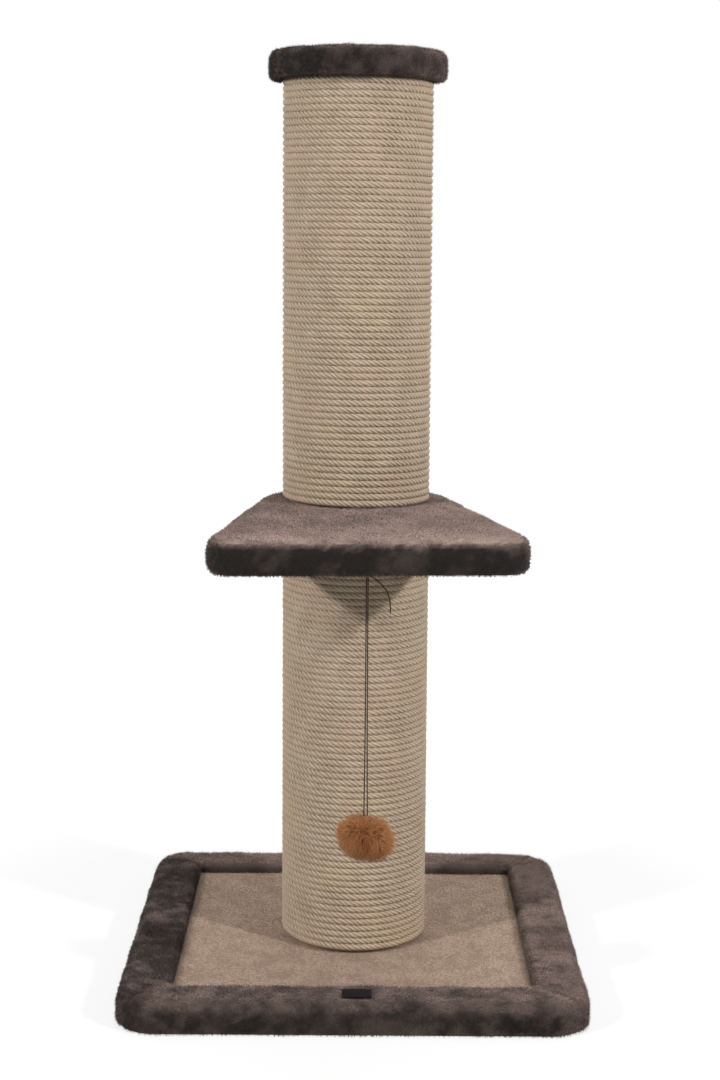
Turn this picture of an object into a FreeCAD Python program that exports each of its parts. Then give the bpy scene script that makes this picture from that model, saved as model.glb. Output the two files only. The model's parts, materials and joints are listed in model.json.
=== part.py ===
import FreeCAD, Part
import math
import os
from types import SimpleNamespace

import Sketcher

# Cat scratching post: plush-rimmed base, two rope-wound posts, a padded platform and a round padded cap.
# Millimetres and degrees, +Z up, the post's axis through the origin, the floor at zero height, front at -Y.

Vector = FreeCAD.Vector

# Driving dimensions, which go into the sheet one to a row.
SIZES = {
    "base_side": 450,
    "base_corner_radius": 40,
    "rim_width": 52,
    "rim_foam_height": 12,
    "rim_outer_round": 14,
    "rim_inner_round": 8,
    "rim_foot_round": 2,
    "opening_corner_radius": 8,
    "seam_gap": 0.2,
    "plush_thick": 4,
    "hem_width": 24,
    "backing_thick": 2,
    "base_board_thick": 15,
    "carpet_thick": 5,
    "fit_gap": 0.3,
    "tag_width": 28,
    "tag_depth": 20,
    "tag_thick": 0.8,
    "tag_offset": 4,
    "tag_forward": 5,
    "post_length": 418,
    "tube_diameter": 134,
    "tube_wall": 6,
    "plug_thick": 18,
    "rope_diameter": 6,
    "rope_pitch": 6.5,
    "rope_lengths": 3,
    "platform_front_width": 300,
    "platform_back_width": 167,
    "platform_front_reach": 264,
    "platform_back_margin": 21,
    "platform_corner_radius": 26,
    "platform_turn": 3,
    "platform_board_thick": 15,
    "platform_padding_thick": 9,
    "platform_edge_round": 12,
    "platform_under_round": 7,
    "cap_diameter": 176,
    "cap_board_thick": 15,
    "cap_padding_thick": 7,
    "cap_edge_round": 10,
    "cap_under_round": 6,
    "thread_diameter": 8,
    "thread_gap": 0.15,
    "thread_end": 6,
    "bolt_head_across": 13,
    "bolt_head_height": 5.3,
    "washer_diameter": 24,
    "washer_thick": 2,
    "tee_flange_diameter": 22,
    "tee_flange_thick": 1.6,
    "tee_barrel_diameter": 10,
    "tee_barrel_length": 12,
    "screw_diameter": 4,
    "screw_head_diameter": 8,
    "screw_head_height": 3,
    "screw_length": 28,
    "screw_circle_diameter": 80,
    "toy_reach": 195,
    "toy_side": 1,
    "staple_wire": 1.2,
    "staple_width": 12,
    "staple_drop": 3.2,
    "staple_bite": 9,
    "loop_diameter": 4,
    "loop_slack": 0.2,
    "string_diameter": 1.2,
    "string_top_spread": 1.5,
    "string_bottom_spread": 3.3,
    "string_length": 225,
    "knot_diameter": 4.4,
    "pompom_width": 51,
    "pompom_height": 39,
}

doc = FreeCAD.newDocument("cat_scratching_post")
sheet = doc.addObject("Spreadsheet::Sheet", "sizes")
for row, (alias, number) in enumerate(SIZES.items(), 1):
    sheet.set(f"A{row}", alias)
    sheet.set(f"B{row}", str(number))
    sheet.setAlias(f"B{row}", alias)
doc.recompute()


class Size:
    """A size worked out from the sheet: its value now, and the expression that keeps it bound to the cells."""

    def __init__(self, value, text):
        self.value = value
        self.text = text

    def __add__(self, other):
        other = as_size(other)
        return Size(self.value + other.value, f"({self.text} + {other.text})")

    def __sub__(self, other):
        other = as_size(other)
        return Size(self.value - other.value, f"({self.text} - {other.text})")

    def __mul__(self, other):
        other = as_size(other)
        return Size(self.value * other.value, f"({self.text} * {other.text})")

    def __truediv__(self, other):
        other = as_size(other)
        return Size(self.value / other.value, f"({self.text} / {other.text})")

    def __neg__(self):
        return self * -1

    def root(self):
        return Size(math.sqrt(self.value), f"sqrt({self.text})")

    def sine(self):
        return Size(math.sin(math.radians(self.value)), f"sin({self.text})")

    def cosine(self):
        return Size(math.cos(math.radians(self.value)), f"cos({self.text})")

    def arc_tangent(self):
        return Size(math.degrees(math.atan(self.value)), f"atan({self.text})")


def as_size(item):
    return item if isinstance(item, Size) else Size(item, f"({item})")


s = SimpleNamespace(**{name: Size(float(sheet.get(name)), f"sizes.{name}") for name in SIZES})

# Heights of the stack, from the floor up.
board_top = s.backing_thick + s.base_board_thick
carpet_top = board_top + s.carpet_thick
rim_top = board_top + s.rim_foam_height + s.plush_thick
platform_under = carpet_top + s.post_length
platform_board_under = platform_under + s.plush_thick
platform_board_top = platform_board_under + s.platform_board_thick
platform_padding_top = platform_board_top + s.platform_padding_thick
platform_top = platform_padding_top + s.plush_thick
cap_board_under = platform_top + s.post_length
cap_board_top = cap_board_under + s.cap_board_thick
cap_padding_top = cap_board_top + s.cap_padding_thick
cap_top = cap_padding_top + s.plush_thick
cap_under = cap_board_under - s.plush_thick

post_diameter = s.tube_diameter + (s.fit_gap + s.rope_diameter) * 2
thread_hole = s.thread_diameter + s.thread_gap * 2
barrel_hole = s.tee_barrel_diameter + s.thread_gap * 2

# Places of the hanging toy, whose staple turns with the platform.
toy_x = s.toy_reach * s.platform_turn.sine() + s.toy_side * s.platform_turn.cosine()
toy_y = s.toy_side * s.platform_turn.sine() - s.toy_reach * s.platform_turn.cosine()
staple_height = platform_under - s.staple_drop
loop_sag = s.loop_diameter / 2 - s.string_diameter / 2 - s.staple_wire / 2 - s.loop_slack
loop_height = staple_height - loop_sag
knot_height = loop_height - s.loop_diameter / 2 - s.string_diameter / 2 - s.fit_gap - s.knot_diameter / 2
string_top = knot_height - s.knot_diameter / 2 - s.loop_slack
string_foot = string_top - s.string_length
pompom_height = string_foot - s.fit_gap - s.pompom_height / 2

pieces = []


def bind(item, **sizes):
    """Bind an object's properties to the sheet."""
    for name, value in sizes.items():
        item.setExpression(name, value.text)


def place(item, x=None, y=None, z=None, turn=None):
    """Bind an object's place, and its turn about the upright axis."""
    for path, value in (("Base.x", x), ("Base.y", y), ("Base.z", z), ("Rotation.Angle", turn)):
        if value is not None:
            item.setExpression(f"Placement.{path}", value.text)


def keep(item, name):
    """List an object as a sub-part under its node's name."""
    item.Label = name
    pieces.append(item)
    return item


def new_body(name, **where):
    body = doc.addObject("PartDesign::Body", name)
    place(body, **where)
    return body


def sketch_on(body, role="XY_Plane", rise=None):
    """A sketch on one of the body's own origin planes, raised along that plane's normal."""
    sketch = body.newObject("Sketcher::SketchObject", "profile")
    plane = next(item for item in body.Origin.OriginFeatures if item.Role == role)
    sketch.AttachmentSupport = [(plane, "")]
    sketch.MapMode = "FlatFace"
    if rise is not None:
        sketch.setExpression("AttachmentOffset.Base.z", rise.text)
    return sketch


def hold(sketch, kind, places, value):
    """Add a constraint whose value stays bound to the sheet."""
    index = sketch.addConstraint(Sketcher.Constraint(kind, *places, value.value))
    sketch.setExpression(f"Constraints[{index}]", value.text)


def pin(sketch, item, vertex, x, y):
    """Hold a point at a place measured from the sketch's origin; a plain zero puts it on that axis."""
    for kind, axis, value in (("DistanceX", -2, x), ("DistanceY", -1, y)):
        if isinstance(value, Size):
            hold(sketch, kind, (-1, 1, item, vertex), value)
        else:
            sketch.addConstraint(Sketcher.Constraint("PointOnObject", item, vertex, axis))


def polygon(sketch, corners):
    """A closed outline of straight lines through pinned corners."""
    points = [Vector(as_size(x).value, as_size(y).value, 0) for x, y in corners]
    first = sketch.GeometryCount
    count = len(points)
    for start, end in zip(points, points[1:] + points[:1]):
        sketch.addGeometry(Part.LineSegment(start, end), False)
    for index in range(count):
        following = first + (index + 1) % count
        sketch.addConstraint(Sketcher.Constraint("Coincident", first + index, 2, following, 1))
    for index, (x, y) in enumerate(corners):
        pin(sketch, first + index, 1, x, y)


def circle(sketch, diameter, x=0, y=0):
    centre = Vector(as_size(x).value, as_size(y).value, 0)
    item = sketch.addGeometry(Part.Circle(centre, Vector(0, 0, 1), diameter.value / 2), False)
    if x == 0 and y == 0:
        sketch.addConstraint(Sketcher.Constraint("Coincident", item, 3, -1, 1))
    else:
        pin(sketch, item, 3, x, y)
    hold(sketch, "Diameter", (item,), diameter)


def square_corners(side):
    half = side / 2
    return [(-half, -half), (half, -half), (half, half), (-half, half)]


def pad(body, sketch, length):
    feature = body.newObject("PartDesign::Pad", "pad")
    feature.Profile = sketch
    bind(feature, Length=length)
    sketch.Visibility = False
    doc.recompute()
    return feature


def pocket(body, sketch, length=None):
    """Cut up from the sketch by a length, or through everything on both sides."""
    before = body.Shape.Volume
    feature = body.newObject("PartDesign::Pocket", "pocket")
    feature.Profile = sketch
    if length is None:
        feature.Type = "ThroughAll"
        feature.Midplane = True
    else:
        feature.Reversed = True
        bind(feature, Length=length)
    sketch.Visibility = False
    doc.recompute()
    if not body.Shape.Volume < before:
        raise ValueError(f"the pocket in {body.Label} cuts nothing")
    return feature


def turned(body, corners):
    """A solid turned about the upright axis from a profile of (radius, height) corners."""
    sketch = sketch_on(body, "XZ_Plane")
    polygon(sketch, corners)
    feature = body.newObject("PartDesign::Revolution", "turning")
    feature.Profile = sketch
    feature.ReferenceAxis = (sketch, ["V_Axis"])
    feature.Angle = 360
    sketch.Visibility = False
    doc.recompute()
    return feature


NEAR = 1e-4


def upright(edge):
    ends = [vertex.Point for vertex in edge.Vertexes]
    return len(ends) == 2 and (ends[0] - ends[1]).cross(Vector(0, 0, 1)).Length < NEAR


def level_at(height):
    """A test for the edges that lie flat at a height of the body's own."""

    def test(edge):
        box = edge.BoundBox
        return abs(box.ZMin - height.value) < NEAR and abs(box.ZMax - height.value) < NEAR

    return test


def round_edges(body, feature, wanted, radius):
    names = [f"Edge{index}" for index, edge in enumerate(feature.Shape.Edges, 1) if wanted(edge)]
    fillet = body.newObject("PartDesign::Fillet", "rounding")
    fillet.Base = (feature, names)
    bind(fillet, Radius=radius)
    doc.recompute()
    return fillet


def block(name, corners, corner_radius, height, **where):
    """An upright slab on an outline, with its plan corners rounded."""
    body = new_body(name, **where)
    sketch = sketch_on(body)
    polygon(sketch, corners)
    return body, round_edges(body, pad(body, sketch, height), upright, corner_radius)


def disc(name, diameter, height, **where):
    body = new_body(name, **where)
    sketch = sketch_on(body)
    circle(sketch, diameter)
    return body, pad(body, sketch, height)


def drill(body, *holes):
    """Cut round holes, each (diameter, x, y), right through a body."""
    sketch = sketch_on(body)
    for hole in holes:
        circle(sketch, *hole)
    return pocket(body, sketch)


def counterbore(body, rise, depth, *holes):
    """Cut flat-bottomed round recesses, each (diameter, x, y), between two heights of a body's own."""
    sketch = sketch_on(body, rise=rise)
    for hole in holes:
        circle(sketch, *hole)
    return pocket(body, sketch, depth)


def cut(name, base, *tools):
    """Take the tools out of the base, one after another."""
    result = base
    for number, tool in enumerate(tools, 1):
        step = doc.addObject("Part::Cut", f"{name}_cut_{number}")
        step.Base = result
        step.Tool = tool
        result = step
    doc.recompute()
    return result


def solid_feature(name, shape, **where):
    """A solid swept along a route, which no bound feature makes in one unbroken tube."""
    item = doc.addObject("Part::Feature", name)
    item.Shape = shape
    place(item, **where)
    return item


# Base: backing sheet, board, carpet, foam rim and its plush cover in four mitred strips.


def rim_outline(inset):
    """The base's plan outline and corner radius, drawn in by an inset."""
    return square_corners(s.base_side - inset * 2), s.base_corner_radius - inset


def foam_ring(name, inset, foot_inset):
    """The foam frame on the board's edge: rounded over the top, and square where it meets the board."""
    corners, radius = rim_outline(inset)
    height = s.rim_foam_height + s.plush_thick - inset
    body, slab = block(name, corners, radius, height, z=board_top)
    slab = round_edges(body, slab, level_at(height), s.rim_outer_round - inset)
    inner_side = s.base_side - (s.rim_width - foot_inset) * 2
    sketch = sketch_on(body)
    polygon(sketch, square_corners(inner_side))
    slab = pocket(body, sketch, height)
    on_top = level_at(height)
    reach = inner_side.value / 2 + NEAR
    round_edges(
        body,
        slab,
        lambda edge: on_top(edge) and max(abs(edge.CenterOfMass.x), abs(edge.CenterOfMass.y)) < reach,
        s.rim_inner_round - inset,
    )
    return body


def rim_shell():
    """The plush skin as one ring: over the foam, down the outside and turned under the board as a hem."""
    corners, radius = rim_outline(as_size(0))
    body, slab = block("rim_skin", corners, radius, rim_top)
    slab = round_edges(body, slab, level_at(rim_top), s.rim_outer_round)
    slab = round_edges(body, slab, level_at(as_size(0)), s.rim_foot_round)
    opening_side = s.base_side - s.rim_width * 2
    sketch = sketch_on(body)
    polygon(sketch, square_corners(opening_side))
    slab = pocket(body, sketch, rim_top)
    on_top = level_at(rim_top)
    reach = opening_side.value / 2 + NEAR
    round_edges(
        body,
        slab,
        lambda edge: on_top(edge) and max(abs(edge.CenterOfMass.x), abs(edge.CenterOfMass.y)) < reach,
        s.rim_inner_round,
    )
    corners, radius = rim_outline(s.plush_thick)
    board_space, _ = block("board_space", corners, radius, s.base_board_thick, z=s.backing_thick)
    corners, radius = rim_outline(s.hem_width)
    backing_space, _ = block("backing_space", corners, radius, s.backing_thick)
    foam_space = foam_ring("foam_space", s.plush_thick, s.plush_thick)
    return cut("rim_shell", body, board_space, backing_space, foam_space)


def base_plate():
    corners, radius = rim_outline(s.hem_width + s.fit_gap)
    backing, _ = block("base_backing", corners, radius, s.backing_thick)
    keep(backing, "base_backing")

    corners, radius = rim_outline(s.plush_thick + s.fit_gap)
    board, _ = block("base_board", corners, radius, s.base_board_thick, z=s.backing_thick)
    drill(board, (thread_hole,))
    head_room = s.bolt_head_height + s.washer_thick
    counterbore(board, as_size(0), head_room, (s.washer_diameter + s.fit_gap * 2,))
    keep(board, "base_board")

    carpet_side = s.base_side - (s.rim_width + s.fit_gap) * 2
    carpet, _ = block(
        "carpet_panel", square_corners(carpet_side), s.opening_corner_radius, s.carpet_thick, z=board_top
    )
    drill(carpet, (thread_hole,))
    keep(carpet, "carpet_panel")


def rim_strips():
    """Cut the foam frame and the plush skin into four strips that meet at mitred corners."""
    rings = {
        "rim_foam": foam_ring("rim_foam", s.plush_thick + s.fit_gap, s.plush_thick + s.fit_gap),
        "rim_cover": rim_shell(),
    }
    for quarter, side in enumerate(("front", "right", "back", "left")):
        for part, ring in rings.items():
            wedge = new_body(f"{part}_{side}_wedge", turn=as_size(90) * quarter)
            sketch = sketch_on(wedge)
            far = -s.base_side
            polygon(sketch, [(0, -s.seam_gap), (far, far - s.seam_gap), (s.base_side, far - s.seam_gap)])
            pad(wedge, sketch, rim_top + s.rim_foam_height)
            strip = doc.addObject("Part::Common", f"{part}_{side}")
            strip.Base = ring
            strip.Tool = wedge
            keep(strip, f"{part}_{side}")


def blank_tag():
    tag = doc.addObject("Part::Box", "blank_tag")
    bind(tag, Length=s.tag_width, Width=s.tag_depth, Height=s.tag_thick)
    flat_middle = (s.rim_outer_round + s.rim_width - s.rim_inner_round) / 2
    place(
        tag,
        x=s.tag_offset - s.tag_width / 2,
        y=flat_middle - s.tag_forward - s.base_side / 2 - s.tag_depth / 2,
        z=rim_top,
    )
    keep(tag, "blank_tag")


def base_bolt():
    """The captive bolt that the lower post is spun onto, its head sunk in the board over the backing."""
    bolt = new_body("base_bolt", z=s.backing_thick)
    sketch = sketch_on(bolt)
    corner_reach = s.bolt_head_across / as_size(3).root()
    upper = s.bolt_head_across / 2
    half = corner_reach / 2
    polygon(
        sketch,
        [(corner_reach, 0), (half, upper), (-half, upper), (-corner_reach, 0), (-half, -upper), (half, -upper)],
    )
    pad(bolt, sketch, s.bolt_head_height)
    shank = sketch_on(bolt)
    circle(shank, s.thread_diameter)
    reach = s.base_board_thick + s.carpet_thick + s.plug_thick + s.tee_flange_thick + s.thread_end
    pad(bolt, shank, reach)
    keep(bolt, "base_bolt")

    washer, _ = disc("base_washer", s.washer_diameter, s.washer_thick, z=s.backing_thick + s.bolt_head_height)
    drill(washer, (thread_hole,))
    keep(washer, "base_washer")


# Posts: a card tube with a wooden plug in each end, wound with rope.


def biarc_joint(start, start_way, end, end_way):
    """The point where two arcs meet that leave one point along its way and reach the other along its own."""
    span = end - start
    ways = start_way + end_way
    spread = 2 * (1 - start_way.dot(end_way))
    along = span.dot(ways)
    reach = (math.sqrt(along * along + spread * span.dot(span)) - along) / spread
    return (start + end + (start_way - end_way) * reach) * 0.5


def arc_between(start, way, end):
    """The arc that leaves a point along a unit way and ends at another point."""
    chord = end - start
    square = way.cross(chord).cross(way).normalize()
    radius = chord.dot(chord) / (2 * chord.dot(square))
    centre = start + square * radius
    middle = centre + (start + end - centre * 2).normalize() * radius
    return Part.Arc(start, middle, end).toShape()


def tube_along(edges, start, way, diameter):
    """One unbroken round tube along a chain of edges."""
    ring = Part.Wire([Part.makeCircle(diameter / 2, start, way)])
    return Part.Wire(edges).makePipeShell([ring], True, False)


def rope_layout():
    """Path radius, turns in each length of rope, and the pitch that fills the post evenly."""
    radius = s.tube_diameter.value / 2 + s.fit_gap.value + s.rope_diameter.value / 2
    room = s.post_length.value - s.rope_diameter.value - 2 * s.fit_gap.value
    turns = int(room / (s.rope_pitch.value * s.rope_lengths.value))
    return radius, turns, room / (turns * s.rope_lengths.value)


def rope_point(turn):
    """Where the rope's middle line is after a number of turns, and its way: down to the right at the front."""
    radius, _, pitch = rope_layout()
    angle = math.pi / 2 - 2 * math.pi * turn
    foot = s.rope_diameter.value / 2 + s.fit_gap.value
    point = Vector(radius * math.cos(angle), radius * math.sin(angle), foot + pitch * turn)
    way = Vector(radius * math.sin(angle), -radius * math.cos(angle), pitch / (2 * math.pi))
    return point, way.normalize()


def rope_shape(index):
    """One length of the winding: arcs by the quarter turn, with an end that runs straight by one diameter."""
    radius, turns, _ = rope_layout()
    straight = s.rope_diameter.value
    trim = (straight + s.fit_gap.value) / (2 * math.pi * radius)
    first = index * turns + trim
    quarters = 4 * turns
    step = (turns - 2 * trim) / quarters
    stations = [rope_point(first + step * count) for count in range(quarters + 1)]
    start, start_way = stations[0]
    tip = start - start_way * straight
    edges = [Part.LineSegment(tip, start).toShape()]
    for (near, near_way), (far, far_way) in zip(stations, stations[1:]):
        joint = biarc_joint(near, near_way, far, far_way)
        back = arc_between(far, far_way * -1, joint)
        middle = back.valueAt((back.FirstParameter + back.LastParameter) / 2)
        edges.append(arc_between(near, near_way, joint))
        edges.append(Part.Arc(joint, middle, far).toShape())
    end, end_way = stations[-1]
    edges.append(Part.LineSegment(end, end + end_way * straight).toShape())
    return tube_along(edges, tip, start_way, straight)


def rope_gap():
    """The least gap between neighbouring turns, measured on points round the winding."""
    _, turns, _ = rope_layout()
    points_per_turn = 72
    nearby = range(points_per_turn - 4, points_per_turn + 5)
    line = [rope_point(count / points_per_turn)[0] for count in range(turns * points_per_turn)]
    pairs = ((line[i], line[i + j]) for j in nearby for i in range(len(line) - j))
    return min((a - b).Length for a, b in pairs) - s.rope_diameter.value


def post(prefix, foot, tee_holes):
    """A tube with its two plugs and its winding; tee_holes says which plugs take a tee nut."""
    tube, _ = disc(f"{prefix}_tube", s.tube_diameter, s.post_length, z=foot)
    bore = s.tube_diameter - s.tube_wall * 2
    drill(tube, (bore,))
    keep(tube, f"{prefix}_tube")
    for end, height in (("bottom", foot), ("top", foot + s.post_length - s.plug_thick)):
        name = f"{prefix}_{end}_plug"
        plug, _ = disc(name, bore - s.fit_gap * 2, s.plug_thick, z=height)
        if end in tee_holes:
            drill(plug, (barrel_hole,))
        else:
            drill(plug, *screw_places(s.screw_diameter + s.thread_gap * 2))
        keep(plug, name)
    for index in range(int(s.rope_lengths.value)):
        name = f"{prefix}_rope_{index + 1}"
        keep(solid_feature(name, rope_shape(index), z=foot), name)


def screw_places(diameter):
    """Four round holes on the screws' circle."""
    reach = s.screw_circle_diameter / 2
    return [(diameter, reach, 0), (diameter, 0, reach), (diameter, -reach, 0), (diameter, 0, -reach)]


def tee_nuts():
    """Flanged nuts whose flanges lie on the plugs' inner faces and whose barrels point to the screw's end."""
    bore = thread_hole / 2
    flange = s.tee_flange_diameter / 2
    barrel = s.tee_barrel_diameter / 2
    inner_faces = {
        "lower_bottom": (carpet_top + s.plug_thick, 1),
        "lower_top": (platform_under - s.plug_thick, -1),
        "upper_bottom": (platform_top + s.plug_thick, 1),
    }
    nuts = []
    for name, (height, up) in inner_faces.items():
        nut = new_body(f"tee_nut_{name}", z=height)
        rim = s.tee_flange_thick * up
        tip = s.tee_barrel_length * -up
        turned(nut, [(bore, rim), (flange, rim), (flange, 0), (barrel, 0), (barrel, tip), (bore, tip)])
        nuts.append(nut)
    group = doc.addObject("Part::Compound", "tee_nuts")
    group.Links = nuts
    keep(group, "tee_nuts")


def joining_stud():
    reach = s.plug_thick + s.tee_flange_thick + s.thread_end
    stud, _ = disc(
        "joining_stud", s.thread_diameter, platform_top - platform_under + reach * 2, z=platform_under - reach
    )
    keep(stud, "joining_stud")


# Platform: board and padding inside a plush cover that is turned under, with a panel closing the underside.


def platform_outline(inset):
    """The platform's plan outline, drawn in by an inset: wide in front, narrow behind the post."""
    back_reach = s.tube_diameter / 2 + s.platform_back_margin
    taper = (s.platform_front_width - s.platform_back_width) / 2 / (s.platform_front_reach + back_reach)
    slant = (taper * taper + 1).root()
    front = s.platform_front_width / 2 - inset * (slant + taper)
    back = s.platform_back_width / 2 - inset * (slant - taper)
    front_line = inset - s.platform_front_reach
    back_line = back_reach - inset
    return [(-front, front_line), (front, front_line), (back, back_line), (-back, back_line)]


def front_corner(edge):
    return upright(edge) and edge.BoundBox.YMax < 0


def back_corner(edge):
    return upright(edge) and edge.BoundBox.YMin > 0


def platform_slab(name, inset, foot, height):
    """A slab with tight corners in front and a back rounded by half its width, as it goes round the post."""
    body = new_body(name, z=foot, turn=s.platform_turn)
    sketch = sketch_on(body)
    polygon(sketch, platform_outline(inset))
    slab = pad(body, sketch, height)
    slab = round_edges(body, slab, front_corner, s.platform_corner_radius - inset)
    return body, round_edges(body, slab, back_corner, s.platform_back_width / 2 - inset)


def staple_holes():
    half = s.staple_width / 2
    bore = s.staple_wire + s.fit_gap * 2
    return [(bore, s.toy_side - half, -s.toy_reach), (bore, s.toy_side + half, -s.toy_reach)]


def platform():
    board, _ = platform_slab(
        "platform_board", s.plush_thick + s.fit_gap, platform_board_under, s.platform_board_thick
    )
    drill(board, (thread_hole,))
    counterbore(board, as_size(0), s.staple_bite + s.fit_gap, *staple_holes())
    keep(board, "platform_board")

    soft_round = s.platform_edge_round - s.plush_thick
    padding_height = s.platform_padding_thick - s.fit_gap
    padding, slab = platform_slab(
        "platform_padding", s.plush_thick + s.fit_gap, platform_board_top, padding_height
    )
    round_edges(padding, slab, level_at(padding_height), soft_round)
    drill(padding, (thread_hole,))
    keep(padding, "platform_padding")

    skin_height = platform_top - platform_under
    skin, slab = platform_slab("platform_skin", as_size(0), platform_under, skin_height)
    slab = round_edges(skin, slab, level_at(skin_height), s.platform_edge_round)
    round_edges(skin, slab, level_at(as_size(0)), s.platform_under_round)
    drill(skin, (thread_hole,))
    core_height = s.platform_board_thick + s.platform_padding_thick
    core, slab = platform_slab("platform_core", s.plush_thick, platform_board_under, core_height)
    round_edges(core, slab, level_at(core_height), soft_round)
    hem_space, _ = platform_slab("platform_hem_space", s.hem_width, platform_under, s.plush_thick)
    keep(cut("platform_cover", skin, core, hem_space), "platform_cover")

    underside, _ = platform_slab(
        "platform_underside", s.hem_width + s.fit_gap, platform_under, s.plush_thick
    )
    drill(underside, (thread_hole,), *staple_holes())
    keep(underside, "platform_underside")


# Cap: a round board with padding in a plush cover gathered in under its edge, screwed to the top plug.


def cap():
    board_diameter = s.cap_diameter - (s.plush_thick + s.fit_gap) * 2
    board, _ = disc("cap_board", board_diameter, s.cap_board_thick, z=cap_board_under)
    drill(board, *screw_places(s.screw_diameter + s.thread_gap * 2))
    head_room = s.screw_head_height
    counterbore(
        board,
        s.cap_board_thick - head_room,
        head_room,
        *screw_places(s.screw_head_diameter + s.fit_gap * 2),
    )
    keep(board, "cap_board")

    soft_round = s.cap_edge_round - s.plush_thick
    padding_height = s.cap_padding_thick - s.fit_gap
    padding, slab = disc("cap_padding", board_diameter, padding_height, z=cap_board_top)
    round_edges(padding, slab, level_at(padding_height), soft_round)
    keep(padding, "cap_padding")

    skin_height = cap_top - cap_under
    skin, slab = disc("cap_skin", s.cap_diameter, skin_height, z=cap_under)
    slab = round_edges(skin, slab, level_at(skin_height), s.cap_edge_round)
    round_edges(skin, slab, level_at(as_size(0)), s.cap_under_round)
    core_height = s.cap_board_thick + s.cap_padding_thick
    core, slab = disc("cap_core", s.cap_diameter - s.plush_thick * 2, core_height, z=cap_board_under)
    round_edges(core, slab, level_at(core_height), soft_round)
    post_space, _ = disc("cap_post_space", post_diameter + s.fit_gap * 4, s.plush_thick, z=cap_under)
    keep(cut("cap_cover", skin, core, post_space), "cap_cover")


def cap_screws():
    head = s.screw_head_diameter / 2
    shank = s.screw_diameter / 2
    neck = -s.screw_head_height
    shoulder = shank - s.screw_length
    profile = [(0, 0), (head, 0), (head, neck), (shank, neck), (shank, shoulder), (0, -s.screw_length)]
    reach = s.screw_circle_diameter / 2
    screws = []
    for number, (x, y) in enumerate(((reach, None), (None, reach), (-reach, None), (None, -reach)), 1):
        screw = new_body(f"cap_screw_{number}", x=x, y=y, z=cap_board_top)
        turned(screw, profile)
        screws.append(screw)
    group = doc.addObject("Part::Compound", "cap_screws")
    group.Links = screws
    keep(group, "cap_screws")


# Toy: a pompom on a doubled elastic string, tied to a staple under the platform's front.


def toy_staple():
    """A wire staple driven up through the underside panel into the board, its crown left standing out."""
    staple = new_body("toy_staple", x=toy_x, y=toy_y, z=staple_height, turn=s.platform_turn)
    half = s.staple_width / 2
    wire = s.staple_wire / 2
    leg = s.staple_drop + s.plush_thick + s.staple_bite
    sketch = sketch_on(staple, "XZ_Plane", rise=-wire)
    polygon(
        sketch,
        [
            (-half - wire, -wire),
            (half + wire, -wire),
            (half + wire, leg),
            (half - wire, leg),
            (half - wire, wire),
            (wire - half, wire),
            (wire - half, leg),
            (-half - wire, leg),
        ],
    )
    pad(staple, sketch, s.staple_wire)
    keep(staple, "toy_staple")


def toy_loop():
    loop = doc.addObject("Part::Torus", "string_loop")
    bind(loop, Radius1=s.loop_diameter / 2, Radius2=s.string_diameter / 2)
    upended = FreeCAD.Rotation(Vector(0, 1, 0), 90)
    turned_by = FreeCAD.Rotation(Vector(0, 0, 1), s.platform_turn.value)
    loop.Placement = FreeCAD.Placement(Vector(0, 0, 0), turned_by.multiply(upended))
    place(loop, x=toy_x, y=toy_y, z=loop_height)
    keep(loop, "string_loop")

    knot = doc.addObject("Part::Sphere", "string_knot")
    bind(knot, Radius=s.knot_diameter / 2)
    place(knot, x=toy_x, y=toy_y, z=knot_height)
    keep(knot, "string_knot")


def toy_strings():
    """The two strands, straight under the pompom's weight and a little apart where they enter it."""
    lean = ((s.string_bottom_spread - s.string_top_spread) / 2 / s.string_length).arc_tangent()
    for name, side in (("string_left", -1), ("string_right", 1)):
        strand = doc.addObject("Part::Cylinder", name)
        bind(strand, Radius=s.string_diameter / 2, Height=s.string_length)
        strand.Placement = FreeCAD.Placement(Vector(0, 0, 0), FreeCAD.Rotation(Vector(0, -side, 0), lean.value))
        place(strand, x=toy_x + s.string_bottom_spread / 2 * side, y=toy_y, z=string_foot, turn=lean)
        keep(strand, name)


# The loose end of the knot, from the knot outward and down, as steps across and down from the knot's middle.
TAIL_STEPS = ((2.6, -0.4), (9, -4.5), (17, -13), (21.5, -24), (21.5, -36))


def string_tail():
    """Straight runs joined by arcs that take most of the shorter run at each bend."""
    points = [Vector(across, 0, down) for across, down in TAIL_STEPS]
    edges = []
    start = points[0]
    bend_share = 0.45
    for before, corner, after in zip(points, points[1:], points[2:]):
        reach = bend_share * min((corner - before).Length, (after - corner).Length)
        leave = corner + (before - corner).normalize() * reach
        join = corner + (after - corner).normalize() * reach
        edges.append(Part.LineSegment(start, leave).toShape())
        edges.append(arc_between(leave, (corner - before).normalize(), join))
        start = join
    edges.append(Part.LineSegment(start, points[-1]).toShape())
    shape = tube_along(edges, points[0], points[1] - points[0], s.string_diameter.value)
    keep(solid_feature("string_tail", shape, x=toy_x, y=toy_y, z=knot_height), "string_tail")


def pompom():
    ball = doc.addObject("Part::Ellipsoid", "pompom")
    bind(ball, Radius1=s.pompom_height / 2, Radius2=s.pompom_width / 2, Radius3=s.pompom_width / 2)
    place(ball, x=toy_x, y=toy_y, z=pompom_height)
    keep(ball, "pompom")


base_plate()
rim_strips()
blank_tag()
base_bolt()
post("lower", carpet_top, ("bottom", "top"))
post("upper", platform_top, ("bottom",))
tee_nuts()
joining_stud()
platform()
cap()
cap_screws()
toy_staple()
toy_loop()
toy_strings()
string_tail()
pompom()
doc.recompute()

print(f"least gap between turns of rope: {rope_gap():.2f} mm")

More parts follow.
